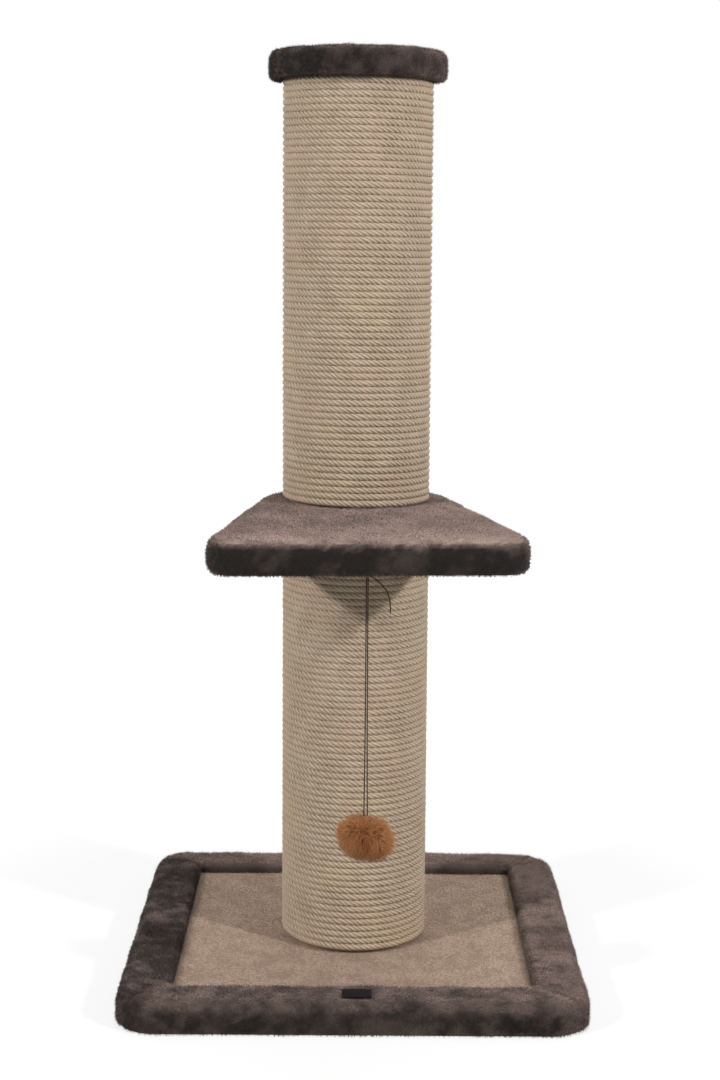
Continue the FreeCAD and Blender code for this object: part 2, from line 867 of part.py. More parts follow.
for item in doc.Objects:
    if "Invalid" in item.State or "Error" in item.State:
        raise ValueError(f"{item.Label} did not compute: {item.State}")
os.makedirs("parts", exist_ok=True)
for item in pieces:
    if item.Shape.isNull() or not item.Shape.isValid() or not item.Shape.Solids:
        raise ValueError(f"{item.Label} has no valid solid")
    item.Shape.exportStep(f"parts/{item.Label}.step")
print(len(pieces), "sub-parts")
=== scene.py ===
# %% [markdown]
# # A cat scratching post
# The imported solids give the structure: a plush-rimmed base, two rope-wound posts, a padded perch, a
# padded cap and a hanging pompom. This script dresses them. Soft and wound pieces are modelled again with
# their pile, lay and fibres, and the plain solids that stay get a finish of their own. Lengths are in
# metres, with +Z up and the front at -Y.

# %% Load the frame
import json
import math

import bpy
import numpy as np
from mathutils import Matrix, Vector, noise


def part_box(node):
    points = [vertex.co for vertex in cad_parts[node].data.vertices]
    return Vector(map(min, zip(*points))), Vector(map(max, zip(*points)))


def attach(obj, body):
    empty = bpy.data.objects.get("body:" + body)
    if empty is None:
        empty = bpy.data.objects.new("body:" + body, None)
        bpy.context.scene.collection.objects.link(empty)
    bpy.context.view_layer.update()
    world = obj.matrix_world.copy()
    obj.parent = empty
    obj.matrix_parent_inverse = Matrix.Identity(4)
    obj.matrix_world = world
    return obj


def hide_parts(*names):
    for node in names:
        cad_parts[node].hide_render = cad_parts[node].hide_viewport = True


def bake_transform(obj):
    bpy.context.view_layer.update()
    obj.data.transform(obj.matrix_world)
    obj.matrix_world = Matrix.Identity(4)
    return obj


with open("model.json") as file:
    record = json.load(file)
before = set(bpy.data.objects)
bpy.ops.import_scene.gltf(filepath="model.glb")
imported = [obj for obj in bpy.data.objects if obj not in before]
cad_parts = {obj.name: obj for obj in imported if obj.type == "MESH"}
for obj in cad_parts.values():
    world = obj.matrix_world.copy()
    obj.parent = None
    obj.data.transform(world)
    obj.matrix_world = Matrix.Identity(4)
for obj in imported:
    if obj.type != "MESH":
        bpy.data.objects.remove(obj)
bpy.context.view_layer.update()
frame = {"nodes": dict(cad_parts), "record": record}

MM = 0.001


def new_object(name, data):
    item = bpy.data.objects.new(name, data)
    bpy.context.collection.objects.link(item)
    return item


# %% [markdown]
# ## Camera
# The photograph was taken from in front, a little above the perch, with a long lens. The focal length,
# the tilt and the small roll come from a pinhole camera fitted to the outline. The picture's frame is 720
# by 1080.

# %% Camera
FRAME_HEIGHT_PX = 1080
FOCAL_PX = 1942
AXIS_ABOVE_MIDDLE_PX = 40
CAMERA_TILT = 0.1414
CAMERA_ROLL = 0.0065
CAMERA_PLACE = Vector((0.0041, -1.9401, 0.7485))

camera_data = bpy.data.cameras.new("camera")
camera_data.sensor_width = 36
camera_data.lens = camera_data.sensor_width * FOCAL_PX / FRAME_HEIGHT_PX
camera_data.shift_y = -AXIS_ABOVE_MIDDLE_PX / FRAME_HEIGHT_PX
camera = new_object("camera", camera_data)
tilt = Matrix.Rotation(math.pi / 2 - CAMERA_TILT, 4, "X")
camera.matrix_world = Matrix.Translation(CAMERA_PLACE) @ tilt @ Matrix.Rotation(CAMERA_ROLL, 4, "Z")
bpy.context.scene.camera = camera
print("lens", round(camera_data.lens, 1), "mm")

# %% [markdown]
# ## Helpers for nodes
# A node tree reads best as sums. `Wire` wraps one output socket, so that `1 - mask` adds its Math node,
# and `Nodes.add` adds any other node from its type, its settings and the values or wires of its sockets.
# `Finish` is a material that is written this way, and `GeometryTree` a tree of geometry nodes.

# %% Node helpers


class Wire:
    """One output socket that can be used in sums."""

    def __init__(self, nodes, socket):
        self.nodes = nodes
        self.socket = socket

    def __add__(self, other):
        return self.nodes.maths("ADD", self, other)

    __radd__ = __add__

    def __sub__(self, other):
        return self.nodes.maths("SUBTRACT", self, other)

    def __rsub__(self, other):
        return self.nodes.maths("SUBTRACT", other, self)

    def __mul__(self, other):
        return self.nodes.maths("MULTIPLY", self, other)

    __rmul__ = __mul__

    def __truediv__(self, other):
        return self.nodes.maths("DIVIDE", self, other)


class Nodes:
    """A node tree that is being written."""

    def __init__(self, tree):
        self.tree = tree

    def add(self, kind, inputs=None, out=0, **settings):
        node = self.tree.nodes.new(kind)
        for name, value in settings.items():
            setattr(node, name, value)
        for name, value in (inputs or {}).items():
            for item in value if isinstance(value, list) else [value]:
                if isinstance(item, Wire):
                    self.tree.links.new(item.socket, node.inputs[name])
                else:
                    node.inputs[name].default_value = item
        return Wire(self, node.outputs[out])

    def maths(self, operation, *values):
        return self.add("ShaderNodeMath", dict(enumerate(values)), operation=operation)

    def vector(self, operation, *values):
        return self.add("ShaderNodeVectorMath", dict(enumerate(values)), operation=operation)

    def scaled(self, vector, factor):
        return self.add("ShaderNodeVectorMath", {0: vector, "Scale": factor}, operation="SCALE")

    def combined(self, x=0.0, y=0.0, z=0.0):
        return self.add("ShaderNodeCombineXYZ", {0: x, 1: y, 2: z})

    def mix(self, factor, first, second):
        """A colour between two, by a factor from 0 to 1."""
        ends = [item if isinstance(item, Wire) else (*item, 1) for item in (first, second)]
        return self.add("ShaderNodeMix", {0: factor, 6: ends[0], 7: ends[1]}, out=2, data_type="RGBA")

    def span(self, value, low, high):
        """A value's place between two limits, from 0 to 1."""
        return self.add("ShaderNodeMapRange", {"Value": value, "From Min": low, "From Max": high})


class Finish(Nodes):
    """A material whose colour, roughness and relief are written as nodes."""

    def __init__(self, name, roughness=0.9, **sockets):
        self.material = bpy.data.materials.new(name)
        self.material.use_nodes = True
        super().__init__(self.material.node_tree)
        self.surface = self.tree.nodes["Principled BSDF"]
        self.surface.inputs["Roughness"].default_value = roughness
        for socket, value in sockets.items():
            self.surface.inputs[socket.replace("_", " ")].default_value = value
        self.place = self.add("ShaderNodeTexCoord", out="Object")

    def attribute(self, name):
        return self.add("ShaderNodeAttribute", out="Fac", attribute_name=name)

    def noise(self, scale, detail=2.0, vector=None, roughness=0.5):
        inputs = {"Vector": vector or self.place, "Scale": scale, "Detail": detail, "Roughness": roughness}
        return self.add("ShaderNodeTexNoise", inputs)

    def stretched(self, scale):
        """Object coordinates scaled unevenly, for grain."""
        return self.add("ShaderNodeMapping", {"Vector": self.place, "Scale": scale})

    def colour(self, wire):
        self.tree.links.new(wire.socket, self.surface.inputs["Base Color"])
        return self

    def rough(self, wire):
        self.tree.links.new(wire.socket, self.surface.inputs["Roughness"])
        return self

    def relief(self, height, depth, strength=1.0):
        bump = self.add("ShaderNodeBump", {"Height": height, "Distance": depth, "Strength": strength})
        self.tree.links.new(bump.socket, self.surface.inputs["Normal"])
        return self

    def grained(self, grain, dark, pale, depth, strength, limits=None):
        """Colour and relief that follow one grain."""
        share = self.span(grain, *limits) if limits else grain
        self.colour(self.mix(share, dark, pale))
        return self.relief(grain, depth, strength)

    def shown(self, shader):
        """Show a shader as the material's surface."""
        self.tree.links.new(shader.socket, self.tree.nodes["Material Output"].inputs["Surface"])
        return self


class GeometryTree(Nodes):
    """A tree of geometry nodes whose inputs are at hand by name."""

    def __init__(self, name, start, inputs):
        super().__init__(bpy.data.node_groups.new(name, "GeometryNodeTree"))
        sockets = self.tree.interface
        sockets.new_socket(start, in_out="INPUT", socket_type="NodeSocketGeometry")
        for label, value in inputs.items():
            kind = "NodeSocketInt" if isinstance(value, int) else "NodeSocketFloat"
            sockets.new_socket(label, in_out="INPUT", socket_type=kind).default_value = value
        sockets.new_socket("Finish", in_out="INPUT", socket_type="NodeSocketMaterial")
        sockets.new_socket("Result", in_out="OUTPUT", socket_type="NodeSocketGeometry")
        entry = self.tree.nodes.new("NodeGroupInput")
        self.given = {socket.name: Wire(self, socket) for socket in entry.outputs if socket.name}

    def named(self, name):
        return self.add("GeometryNodeInputNamedAttribute", {"Name": name}, data_type="FLOAT")

    def chance(self, seed):
        """A random value from -1 to 1 for each point."""
        return self.add("FunctionNodeRandomValue", {2: -1.0, 3: 1.0, "Seed": seed}, out=1)

    def stored(self, geometry, name, value, kind="FLOAT"):
        """A geometry with a value stored at each of its points."""
        inputs = {"Geometry": geometry, "Name": name, "Value": value}
        return self.add("GeometryNodeStoreNamedAttribute", inputs, data_type=kind, domain="POINT")

    def finished(self, geometry):
        inputs = {"Geometry": geometry, "Material": self.given["Finish"]}
        return self.add("GeometryNodeSetMaterial", inputs)

    def end(self, geometry):
        leave = self.tree.nodes.new("NodeGroupOutput")
        self.tree.links.new(geometry.socket, leave.inputs["Result"])
        return self.tree


# %% [markdown]
# ## Finishes
# The plush is a grey-mauve pile. Where it was brushed flat it shines and looks pale, and where it stands
# up it looks dark. Each tuft carries a `tip` value that runs from its root to its point, and a value for
# its nap that says how the pile was last brushed, with painted light added: paler tops, a paler right side
# and a painted highlight along the perch's front edge. The sisal is straw-coloured, with painted shade
# between its yarns and between its turns, and stray brown fibres.

# %% Plush, carpet and fur
SHEEN_TINT = (0.92, 0.67, 0.585, 1)


def pile_colour(finish, root, tip, brushed, mottle_scale, mottle_depth=0.5):
    """Pile from its root's colour to its tip's, paler where brushed flat and where light is painted in."""
    along = finish.attribute("tip")
    nap = finish.attribute("nap")
    mottle = finish.noise(mottle_scale, 3)
    point = finish.mix(finish.span(nap + (mottle - 0.5) * mottle_depth, 0.1, 0.9), tip, brushed)
    return finish.mix(along, root, point)


def plush_finish():
    """Lying pile shines along the surface, and standing pile takes the light in: a mix of the two."""
    finish = Finish("plush", 0.9, Sheen_Weight=1.0, Sheen_Roughness=0.45, Sheen_Tint=SHEEN_TINT)
    shade = pile_colour(finish, (0.009, 0.0065, 0.0054), (0.013, 0.0095, 0.0078), (0.27, 0.196, 0.165), 45)
    # Past 1, the nap value mixes in a pale painted highlight: along the perch's front edge, and faintly on
    # the back rim.
    shade = finish.mix(finish.span(finish.attribute("nap"), 1.0, 1.6), shade, (0.62, 0.46, 0.39))
    finish.colour(shade)
    finish.relief(finish.noise(170, 4, roughness=0.65), 0.0016, 0.8)
    lying = Wire(finish, finish.surface.outputs[0])
    relief = Wire(finish, finish.surface.inputs["Normal"].links[0].from_socket)
    standing = finish.add("ShaderNodeBsdfPrincipled", {
        "Base Color": shade, "Roughness": 0.95, "Sheen Weight": 0.2, "Sheen Roughness": 0.5,
        "Sheen Tint": SHEEN_TINT, "Normal": relief,
    })
    mixed = finish.add("ShaderNodeMixShader", {0: finish.attribute("nap"), 1: standing, 2: lying})
    return finish.shown(mixed)


def soft_pile_finish(name, root, tip, brushed, mottle_scale, mottle_depth=0.5, **sockets):
    finish = Finish(name, 0.95, **sockets)
    return finish.colour(pile_colour(finish, root, tip, brushed, mottle_scale, mottle_depth))


plush = plush_finish()
carpet_pile = soft_pile_finish(
    "carpet_pile", (0.33, 0.235, 0.175), (0.44, 0.325, 0.245), (0.77, 0.58, 0.455), 300, mottle_depth=2.6
)
fur = soft_pile_finish(
    "pompom_fur", (0.22, 0.070, 0.022), (0.60, 0.235, 0.075), (0.88, 0.43, 0.18), 260,
    Sheen_Weight=0.1, Sheen_Roughness=0.4,
)

# %% Sisal
YARNS = 5


def sisal_finish():
    finish = Finish("sisal", 0.85)
    along, crest, outer = (finish.attribute(name) for name in ("along", "crest", "outer"))
    ring_x, ring_y = finish.attribute("ring_x"), finish.attribute("ring_y")
    wave = finish.maths("COSINE", finish.maths("ARCTAN2", ring_y, ring_x) * YARNS)
    fibre = finish.noise(1, 4, finish.combined(along * 110, ring_x * 6, ring_y * 6), 0.65)
    speck = finish.noise(1, 1, finish.combined(along * 330, ring_x * 5, ring_y * 5))
    yarn = wave * 0.3 + fibre * 1.3 - 0.15
    straw = finish.mix(finish.span(yarn, 0.1, 0.9), (0.36, 0.265, 0.175), (0.68, 0.56, 0.415))
    for spots, low, high, share, shade in (
        (finish.noise(38, 3), 0.35, 0.7, 0.4, (0.76, 0.65, 0.51)),
        (finish.noise(24, 2), 0.46, 0.66, 0.5, (0.64, 0.46, 0.35)),
        (finish.noise(19, 2), 0.55, 0.7, 0.3, (0.60, 0.47, 0.27)),
        (speck, 0.69, 0.78, 0.5, (0.22, 0.14, 0.08)),
    ):
        straw = finish.mix(finish.span(spots, low, high) * share, straw, shade)
    # Painted shade in the grooves between the yarns.
    groove_shade = (1 - finish.span(crest, 0.1, 0.8)) * 0.5
    shaded = finish.mix(groove_shade, straw, (0.29, 0.195, 0.118))
    # Painted shade on the rope's inner side, where it lies against the tube and its neighbouring turns.
    between = (1 - finish.span(outer, 0.2, 0.6)) * 0.1
    finish.colour(finish.mix(between, shaded, (0.36, 0.26, 0.17)))
    return finish.relief(fibre, 0.0005, 0.6)


def stray_fibre_finish():
    finish = Finish("stray_fibre", 0.8)
    shade = finish.noise(300, 1)
    return finish.colour(finish.mix(shade, (0.45, 0.34, 0.22), (0.75, 0.64, 0.48)))


sisal = sisal_finish()
stray_fibre = stray_fibre_finish()

# %% [markdown]
# The rest are plain materials seen at the edges, underneath or not at all: covered elastic, a bare woven
# ribbon, felt, fibreboard, wound card, foam and plated steel.

# %% Plain finishes


def elastic_finish():
    finish = Finish("covered_elastic", 0.7)
    braid = finish.add("ShaderNodeTexWave", {"Vector": finish.place, "Scale": 900.0, "Distortion": 2.0})
    return finish.grained(braid, (0.018, 0.011, 0.008), (0.055, 0.035, 0.027), 0.0001, 0.5)


def ribbon_finish():
    finish = Finish("woven_ribbon", 0.7, Specular_IOR_Level=0.1)
    threads = {"Vector": finish.place, "Scale": 420.0}
    warp, weft = (finish.add("ShaderNodeTexWave", threads, bands_direction=way) for way in "XY")
    return finish.grained(warp * weft, (0.006, 0.006, 0.007), (0.022, 0.021, 0.022), 0.0002, 0.6)


def felt_finish():
    finish = Finish("backing_felt", 0.95)
    fleck = finish.noise(700, 4, roughness=0.7)
    return finish.grained(fleck, (0.010, 0.010, 0.010), (0.045, 0.043, 0.042), 0.0005, 0.7, (0.35, 0.7))


def board_finish():
    finish = Finish("fibreboard", 0.75)
    flake = finish.noise(420, 5, roughness=0.7)
    return finish.grained(flake, (0.30, 0.19, 0.10), (0.50, 0.35, 0.21), 0.0003, 0.4, (0.3, 0.7))


def card_finish():
    finish = Finish("wound_card", 0.85)
    ply = finish.noise(1, 3, finish.stretched((90, 90, 12)))
    return finish.grained(ply, (0.26, 0.17, 0.095), (0.38, 0.26, 0.155), 0.0002, 0.4, (0.3, 0.7))


def foam_finish():
    finish = Finish("foam", 0.95)
    cell = finish.add("ShaderNodeTexVoronoi", {"Vector": finish.place, "Scale": 500.0})
    return finish.grained(cell, (0.50, 0.45, 0.32), (0.72, 0.67, 0.52), 0.0005, 0.6)


def steel_finish():
    finish = Finish("plated_steel", 0.35, Metallic=1.0)
    bloom = finish.noise(160, 4)
    finish.colour(finish.mix(bloom, (0.50, 0.50, 0.48), (0.68, 0.67, 0.64)))
    return finish.rough(finish.span(bloom, -0.4, 1.6) * 0.6)


elastic = elastic_finish()
ribbon = ribbon_finish()
felt = felt_finish()
board = board_finish()
card = card_finish()
foam = foam_finish()
steel = steel_finish()
print(len(bpy.data.materials), "materials")

# %% [markdown]
# ## Meshes from rings
# Most soft pieces here are rings joined to rings: the section of a plush strip carried along the rim, or
# the outline of the perch drawn in step by step. `ring_mesh` joins them, and `piece` turns a mesh into a
# finished piece that rides on its body and stands for its solids.

# %% Mesh helpers
FINE_LUMPS = 95


def box_of(node):
    """The low and the high corner of a solid's box, as arrays."""
    return [np.array(corner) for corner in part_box(node)]


def circle_angles(count):
    return np.linspace(0, 2 * math.pi, count, endpoint=False)


def from_axis(points):
    """How far points are from the posts' axis."""
    return np.hypot(points[:, 0], points[:, 1])


def flat_ring(outline, height):
    return np.column_stack((outline, np.full(len(outline), height)))


def mesh_of(name, points, faces, finish):
    mesh = bpy.data.meshes.new(name)
    mesh.from_pydata([tuple(point) for point in points], [], faces)
    mesh.materials.append(finish.material)
    mesh.shade_smooth()
    mesh.update()
    return mesh


def ring_mesh(name, rings, finish, closed_ends=False):
    """Join rings of equal counts. Without closed ends, the last ring joins the first."""
    count = len(rings[0])
    faces = []
    pairs = range(len(rings) - 1) if closed_ends else range(len(rings))
    for index in pairs:
        following = (index + 1) % len(rings)
        for corner in range(count):
            beside = (corner + 1) % count
            faces.append((index * count + corner, index * count + beside,
                          following * count + beside, following * count + corner))
    if closed_ends:
        faces.append(tuple(reversed(range(count))))
        faces.append(tuple(range((len(rings) - 1) * count, len(rings) * count)))
    return mesh_of(name, np.concatenate(rings), faces, finish)


def grid_faces(columns, rows):
    """Four-cornered faces of a grid of points that is stored row by row."""
    return [(j * columns + i, j * columns + i + 1, (j + 1) * columns + i + 1, (j + 1) * columns + i)
            for j in range(rows - 1) for i in range(columns - 1)]


def grid_edge(columns, rows):
    """The points round the edge of such a grid, in order."""
    last = (rows - 1) * columns
    return ([*range(columns - 1)]
            + [j * columns + columns - 1 for j in range(rows - 1)]
            + [last + i for i in range(columns - 1, 0, -1)]
            + [j * columns for j in range(rows - 1, 0, -1)])


def points_of(mesh):
    return np.array([vertex.co for vertex in mesh.vertices])


def face_outwards(mesh):
    """Turn a closed mesh the right way out, by the sign of its volume."""
    mesh.calc_loop_triangles()
    corners = points_of(mesh)[np.array([triangle.vertices for triangle in mesh.loop_triangles])]
    if np.einsum("ij,ij->i", corners[:, 0], np.cross(corners[:, 1], corners[:, 2])).sum() < 0:
        mesh.flip_normals()
    return mesh


def piece(name, mesh, body, slot, *nodes):
    mesh.name = name
    item = new_object(name, mesh)
    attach(item, body)
    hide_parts(*nodes)
    return item


def swell(points, normals, height, scale, seed):
    """Push points along their normals by soft noise, as stuffing does under cloth."""
    shift = Vector((seed * 3.1, seed * 7.7, seed * 1.3))
    lumps = np.array([noise.noise(Vector(point) * scale + shift) for point in points])
    return points + normals * (lumps * height)[:, None]


def padded_out(points, ways, height, scale, fine_height, seed):
    """Swell twice: softly, as over stuffing, and in finer lumps."""
    return swell(swell(points, ways, height, scale, seed), ways, fine_height, FINE_LUMPS, seed)


def vertex_normals(mesh):
    normals = np.empty(len(mesh.vertices) * 3, np.float32)
    mesh.vertices.foreach_get("normal", normals)
    return normals.reshape(-1, 3)


# %% [markdown]
# ## Growing a pile
# Plush, carpet, fur and the rope's stray fibres are all one thing: thin points standing on a surface,
# leaning together in patches. One geometry tree does it. It scatters points where the surface's `pile`
# value allows, stands a slim three-sided spike on each, leans it, and notes how far along the spike each
# corner is. Real hair curves would be finer, but a mesh keeps its look in the exported model.

# %% Pile tree
PILE_INPUTS = {
    "Density": 300000.0,
    "Width": 0.8 * MM,
    "Length": 4 * MM,
    "Uneven": 0.3,
    "Lean": 0.6,
    "Stray": 0.4,
    "Droop": 0.2,
    "Patch": 14.0,
    "Speckle": 0.15,
    "Seed": 1,
}


def pile_tree():
    nodes = GeometryTree("pile", "Surface", PILE_INPUTS)
    given = nodes.given
    seed = given["Seed"]
    scatter = {"Mesh": given["Surface"], "Density": nodes.named("pile") * given["Density"], "Seed": seed}
    points = nodes.add("GeometryNodeDistributePointsOnFaces", scatter, out="Points")
    normal = Wire(nodes, points.socket.node.outputs["Normal"])

    where = nodes.add("GeometryNodeInputPosition")
    brushing = {"Vector": where, "Scale": given["Patch"], "Detail": 2.0, "W": seed}
    patch_way = nodes.add("ShaderNodeTexNoise", brushing, out="Color", noise_dimensions="4D")
    patch_lean = nodes.scaled(nodes.vector("SUBTRACT", patch_way, (0.5, 0.5, 0.5)), given["Lean"] * 4)
    limits = {"Min": (-1, -1, -1), "Max": (1, 1, 1), "Seed": seed}
    own_way = nodes.add("FunctionNodeRandomValue", limits, data_type="FLOAT_VECTOR")
    own_lean = nodes.scaled(own_way, given["Stray"])
    way = normal
    for lean in (patch_lean, own_lean, nodes.combined(z=given["Droop"] * -1)):
        way = nodes.vector("ADD", way, lean)
    turned = nodes.add("FunctionNodeAlignRotationToVector", {"Vector": way}, axis="Z")

    points = nodes.stored(points, "nap", nodes.named("nap") + nodes.chance(seed + 2) * given["Speckle"])
    points = nodes.stored(points, "skin_normal", normal, "FLOAT_VECTOR")

    cone = {"Vertices": 3, "Radius Top": 0.0, "Radius Bottom": 1.0, "Depth": 1.0}
    spike = nodes.add("GeometryNodeMeshCone", cone, fill_type="NGON")
    spike = nodes.stored(spike, "tip", nodes.add("ShaderNodeSeparateXYZ", {0: where}, out=2))
    length = given["Length"] * (1 + nodes.chance(seed + 1) * given["Uneven"])
    size = nodes.combined(given["Width"], given["Width"], length)
    standing = {"Points": points, "Instance": spike, "Rotation": turned, "Scale": size}
    spikes = nodes.add("GeometryNodeInstanceOnPoints", standing)
    spikes = nodes.finished(nodes.add("GeometryNodeRealizeInstances", {"Geometry": spikes}))
    return nodes.end(nodes.add("GeometryNodeJoinGeometry", {"Geometry": [given["Surface"], spikes]}))


PILE = pile_tree()


def run_tree(mesh, tree, values):
    """Run a geometry tree on a mesh, with inputs set by name, and give the result as a plain mesh."""
    item = new_object("workpiece", mesh)
    modifier = item.modifiers.new("tree", "NODES")
    modifier.node_group = tree
    for socket in tree.interface.items_tree:
        if socket.in_out == "INPUT" and socket.name in values:
            modifier[socket.identifier] = values[socket.name]
    bpy.context.view_layer.update()
    depsgraph = bpy.context.evaluated_depsgraph_get()
    result = bpy.data.meshes.new_from_object(item.evaluated_get(depsgraph), depsgraph=depsgraph)
    bpy.data.objects.remove(item)
    return result


def grow(mesh, finish, skin_share=0.3, **values):
    """Grow a pile that is partly shaded as the surface it stands on, so that it reads as one skin."""
    result = run_tree(mesh, PILE, {"Finish": finish.material, **values})
    skin = np.empty(len(result.vertices) * 3, np.float32)
    result.attributes["skin_normal"].data.foreach_get("vector", skin)
    skin = skin.reshape(-1, 3)
    on_spike = np.linalg.norm(skin, axis=1) > 0.5
    own = vertex_normals(result)
    normals = np.where(on_spike[:, None], skin * skin_share + own * (1 - skin_share), own)
    normals /= np.linalg.norm(normals, axis=1)[:, None] + 1e-9
    result.shade_smooth()
    result.normals_split_custom_set_from_vertices(normals.tolist())
    for label in ("skin_normal", "pile"):
        result.attributes.remove(result.attributes[label])
    return result


def set_values(mesh, **fields):
    """Store one value for each point under each name. A plain number serves every point."""
    for label, values in fields.items():
        field = mesh.attributes.get(label) or mesh.attributes.new(label, "FLOAT", "POINT")
        field.data.foreach_set("value", np.full(len(mesh.vertices), values, np.float32))


def smooth_step(value, low, high):
    share = np.clip((value - low) / (high - low), 0, 1)
    return share * share * (3 - 2 * share)


def brushed_patches(points, level, depth, scale, seed):
    """How the pile was last brushed at each point: from standing (0) to lying (1), in soft patches."""
    shift = Vector((seed * 1.7, seed * 2.9, seed * 4.3))
    waves = np.array([noise.fractal(Vector(point) * scale + shift, 0.6, 2.1, 4) for point in points])
    return np.clip(level + depth * np.tanh(waves * 1.7), 0, 1)


# %% [markdown]
# ## String and pompom
# The toy hangs on two strands of thin covered elastic, straight under the pompom's weight, from a knot
# under the perch. A thinner loop joins the knot to the staple, so that it clears the wire's corners as
# the toy swings. The knot's loose end is stiff enough to stand out before it falls. The strands stretch
# between the knot and the pompom.

# %% String routes
toy_low, toy_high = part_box("string_knot")
knot = (Vector(toy_low) + Vector(toy_high)) / 2
STRING_DIAMETER = 1.2 * MM
LOOP_DIAMETER = 1 * MM
PERCH_TURN = math.radians(3)
STRAND_TOP_SPREAD = 1.5 * MM
STRAND_FOOT_SPREAD = 3.3 * MM
STRAND_HUG = 0.45 * MM
KNOT_TURN = 0.55 * MM
strand_foot, strand_top = (corner[2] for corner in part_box("string_left"))
TAIL_STEPS_MM = ((2.6, -0.4), (9, -4.5), (17, -13), (21.5, -24), (21.5, -36))


def smooth_line(points):
    """Points along a smooth NURBS line that has the route's points as its control points."""
    curve = bpy.data.curves.new("route", "CURVE")
    curve.dimensions = "3D"
    curve.resolution_u = 12
    spline = curve.splines.new("NURBS")
    spline.points.add(len(points) - 1)
    for control, point in zip(spline.points, points):
        control.co = (*point, 1)
    spline.order_u = 3
    spline.use_endpoint_u = True
    item = new_object("route", curve)
    bpy.context.view_layer.update()
    line = bpy.data.meshes.new_from_object(item.evaluated_get(bpy.context.evaluated_depsgraph_get()))
    path = points_of(line)
    bpy.data.objects.remove(item)
    return path


def tube_rings(path, radius, count, closed=False):
    """Round sections along a path, turned as little as possible from one to the next."""
    if closed:
        ways = np.roll(path, -1, axis=0) - np.roll(path, 1, axis=0)
    else:
        ways = np.gradient(path, axis=0)
    ways /= np.linalg.norm(ways, axis=1)[:, None]
    across = np.cross(ways[0], (0.3, 0.9, 0.2))
    rings = []
    angles = circle_angles(count)
    for point, way in zip(path, ways):
        across = across - way * np.dot(across, way)
        across /= np.linalg.norm(across)
        beside = np.cross(way, across)
        rings.append(point + radius * (np.outer(np.cos(angles), across) + np.outer(np.sin(angles), beside)))
    return rings


def cord_mesh(name, path, diameter, closed=False):
    rings = tube_rings(path, diameter / 2, 8 if closed else 10, closed)
    return face_outwards(ring_mesh(name, rings, elastic, closed_ends=not closed))


def line_length(path):
    return float(np.linalg.norm(np.diff(path, axis=0), axis=1).sum())


# %% Strands, tail, loop and knot
for name, side in (("string_left", -1), ("string_right", 1)):
    top = Vector((knot.x + side * STRAND_TOP_SPREAD / 2, knot.y, strand_top))
    foot = Vector((knot.x + side * STRAND_FOOT_SPREAD / 2, knot.y, strand_foot))
    hug = Vector((-side * STRAND_HUG, 0.1 * MM, 0))
    path = smooth_line([top, top.lerp(foot, 0.3) + hug / 2, top.lerp(foot, 0.75) + hug, foot])
    strand = new_object(name + "_strand", cord_mesh(name, path, STRING_DIAMETER))
    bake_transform(strand)
    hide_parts(name)

tail_route = [knot + Vector((across * MM, 0, down * MM)) for across, down in TAIL_STEPS_MM]
tail_path = smooth_line(tail_route)
tail_mesh = cord_mesh("tail", tail_path, STRING_DIAMETER)
tail = piece("string_tail_end", tail_mesh, "string", "elastic", "string_tail")

loop_low, loop_high = box_of("string_loop")
loop_reach = (loop_high[2] - loop_low[2] - STRING_DIAMETER) / 2
angles = circle_angles(48)
loop_path = (loop_low + loop_high) / 2 + loop_reach * np.column_stack((
    -math.sin(PERCH_TURN) * np.cos(angles),
    math.cos(PERCH_TURN) * np.cos(angles),
    np.sin(angles),
))
loop_mesh = cord_mesh("loop", loop_path, LOOP_DIAMETER, closed=True)
piece("string_loop_turn", loop_mesh, "loop", "elastic", "string_loop")

angles = circle_angles(72)
knot_path = np.array(knot) + KNOT_TURN * np.column_stack((
    np.sin(angles) + 2 * np.sin(2 * angles),
    np.cos(angles) - 2 * np.cos(2 * angles),
    -1.4 * np.sin(3 * angles),
))
knot_mesh = cord_mesh("knot", knot_path, STRING_DIAMETER, closed=True)
piece("overhand_knot", knot_mesh, "string", "elastic", "string_knot")
print("strand", round(line_length(path), 3), "tail", round(line_length(tail_path), 3))

# %% [markdown]
# The pompom is a dense ball of cut yarn that leans a little. A smaller ball carries the fur, which falls
# a little and ends near the solid's own outline.

# %% Pompom
FUR_LENGTH = 8.5 * MM
BALL_FLATNESS = 0.6
BALL_LEAN = 0.25
FUR_STANDS_OUT = np.array((0.62, 0.6, 0.82))
ball_low, ball_high = box_of("pompom")
ball_centre = (ball_low + ball_high) / 2
ball_reach = (ball_high - ball_low) / 2 - FUR_LENGTH * FUR_STANDS_OUT


def pompom_mesh():
    tilts = np.linspace(-math.pi / 2, math.pi / 2, 26)[1:-1]
    angles = circle_angles(40)
    rings = []
    for tilt_angle in tilts:
        flat = np.column_stack((np.cos(angles), np.sin(angles))) * math.cos(tilt_angle) ** BALL_FLATNESS
        height = math.copysign(abs(math.sin(tilt_angle)) ** BALL_FLATNESS, tilt_angle)
        ring = flat_ring(flat, height) * ball_reach
        ring[:, 0] -= ring[:, 2] * BALL_LEAN
        rings.append(ring + ball_centre)
    mesh = face_outwards(ring_mesh("pompom", rings, fur, closed_ends=True))
    points = points_of(mesh)
    set_values(mesh, pile=1, tip=0.7, nap=brushed_patches(points, 0.5, 0.6, 110, 2))
    return mesh


pompom = piece(
    "pompom_fur_ball",
    grow(pompom_mesh(), fur, Density=2000000.0, Width=0.36 * MM, Length=FUR_LENGTH, Uneven=0.3, Lean=0.6,
         Stray=0.5, Droop=0.75, Patch=120.0, Speckle=0.5, Seed=3, skin_share=0.3),
    "pompom", "fur", "pompom",
)
print("pompom", len(pompom.data.polygons), "faces")

# %% [markdown]
# ## Rope
# Each post is wound with sisal rope of five yarns, laid right-handed, so its yarns run down to the right
# across every turn. The winding itself climbs the other way round. A helix of points carries a section
# with five lobes, the yarns, that twists as it goes. The lay slips and the girth varies along the rope,
# and the turns wander a little, as hand-guided rope does. The turns press on each other, so the section
# is a little wider than the solid's.

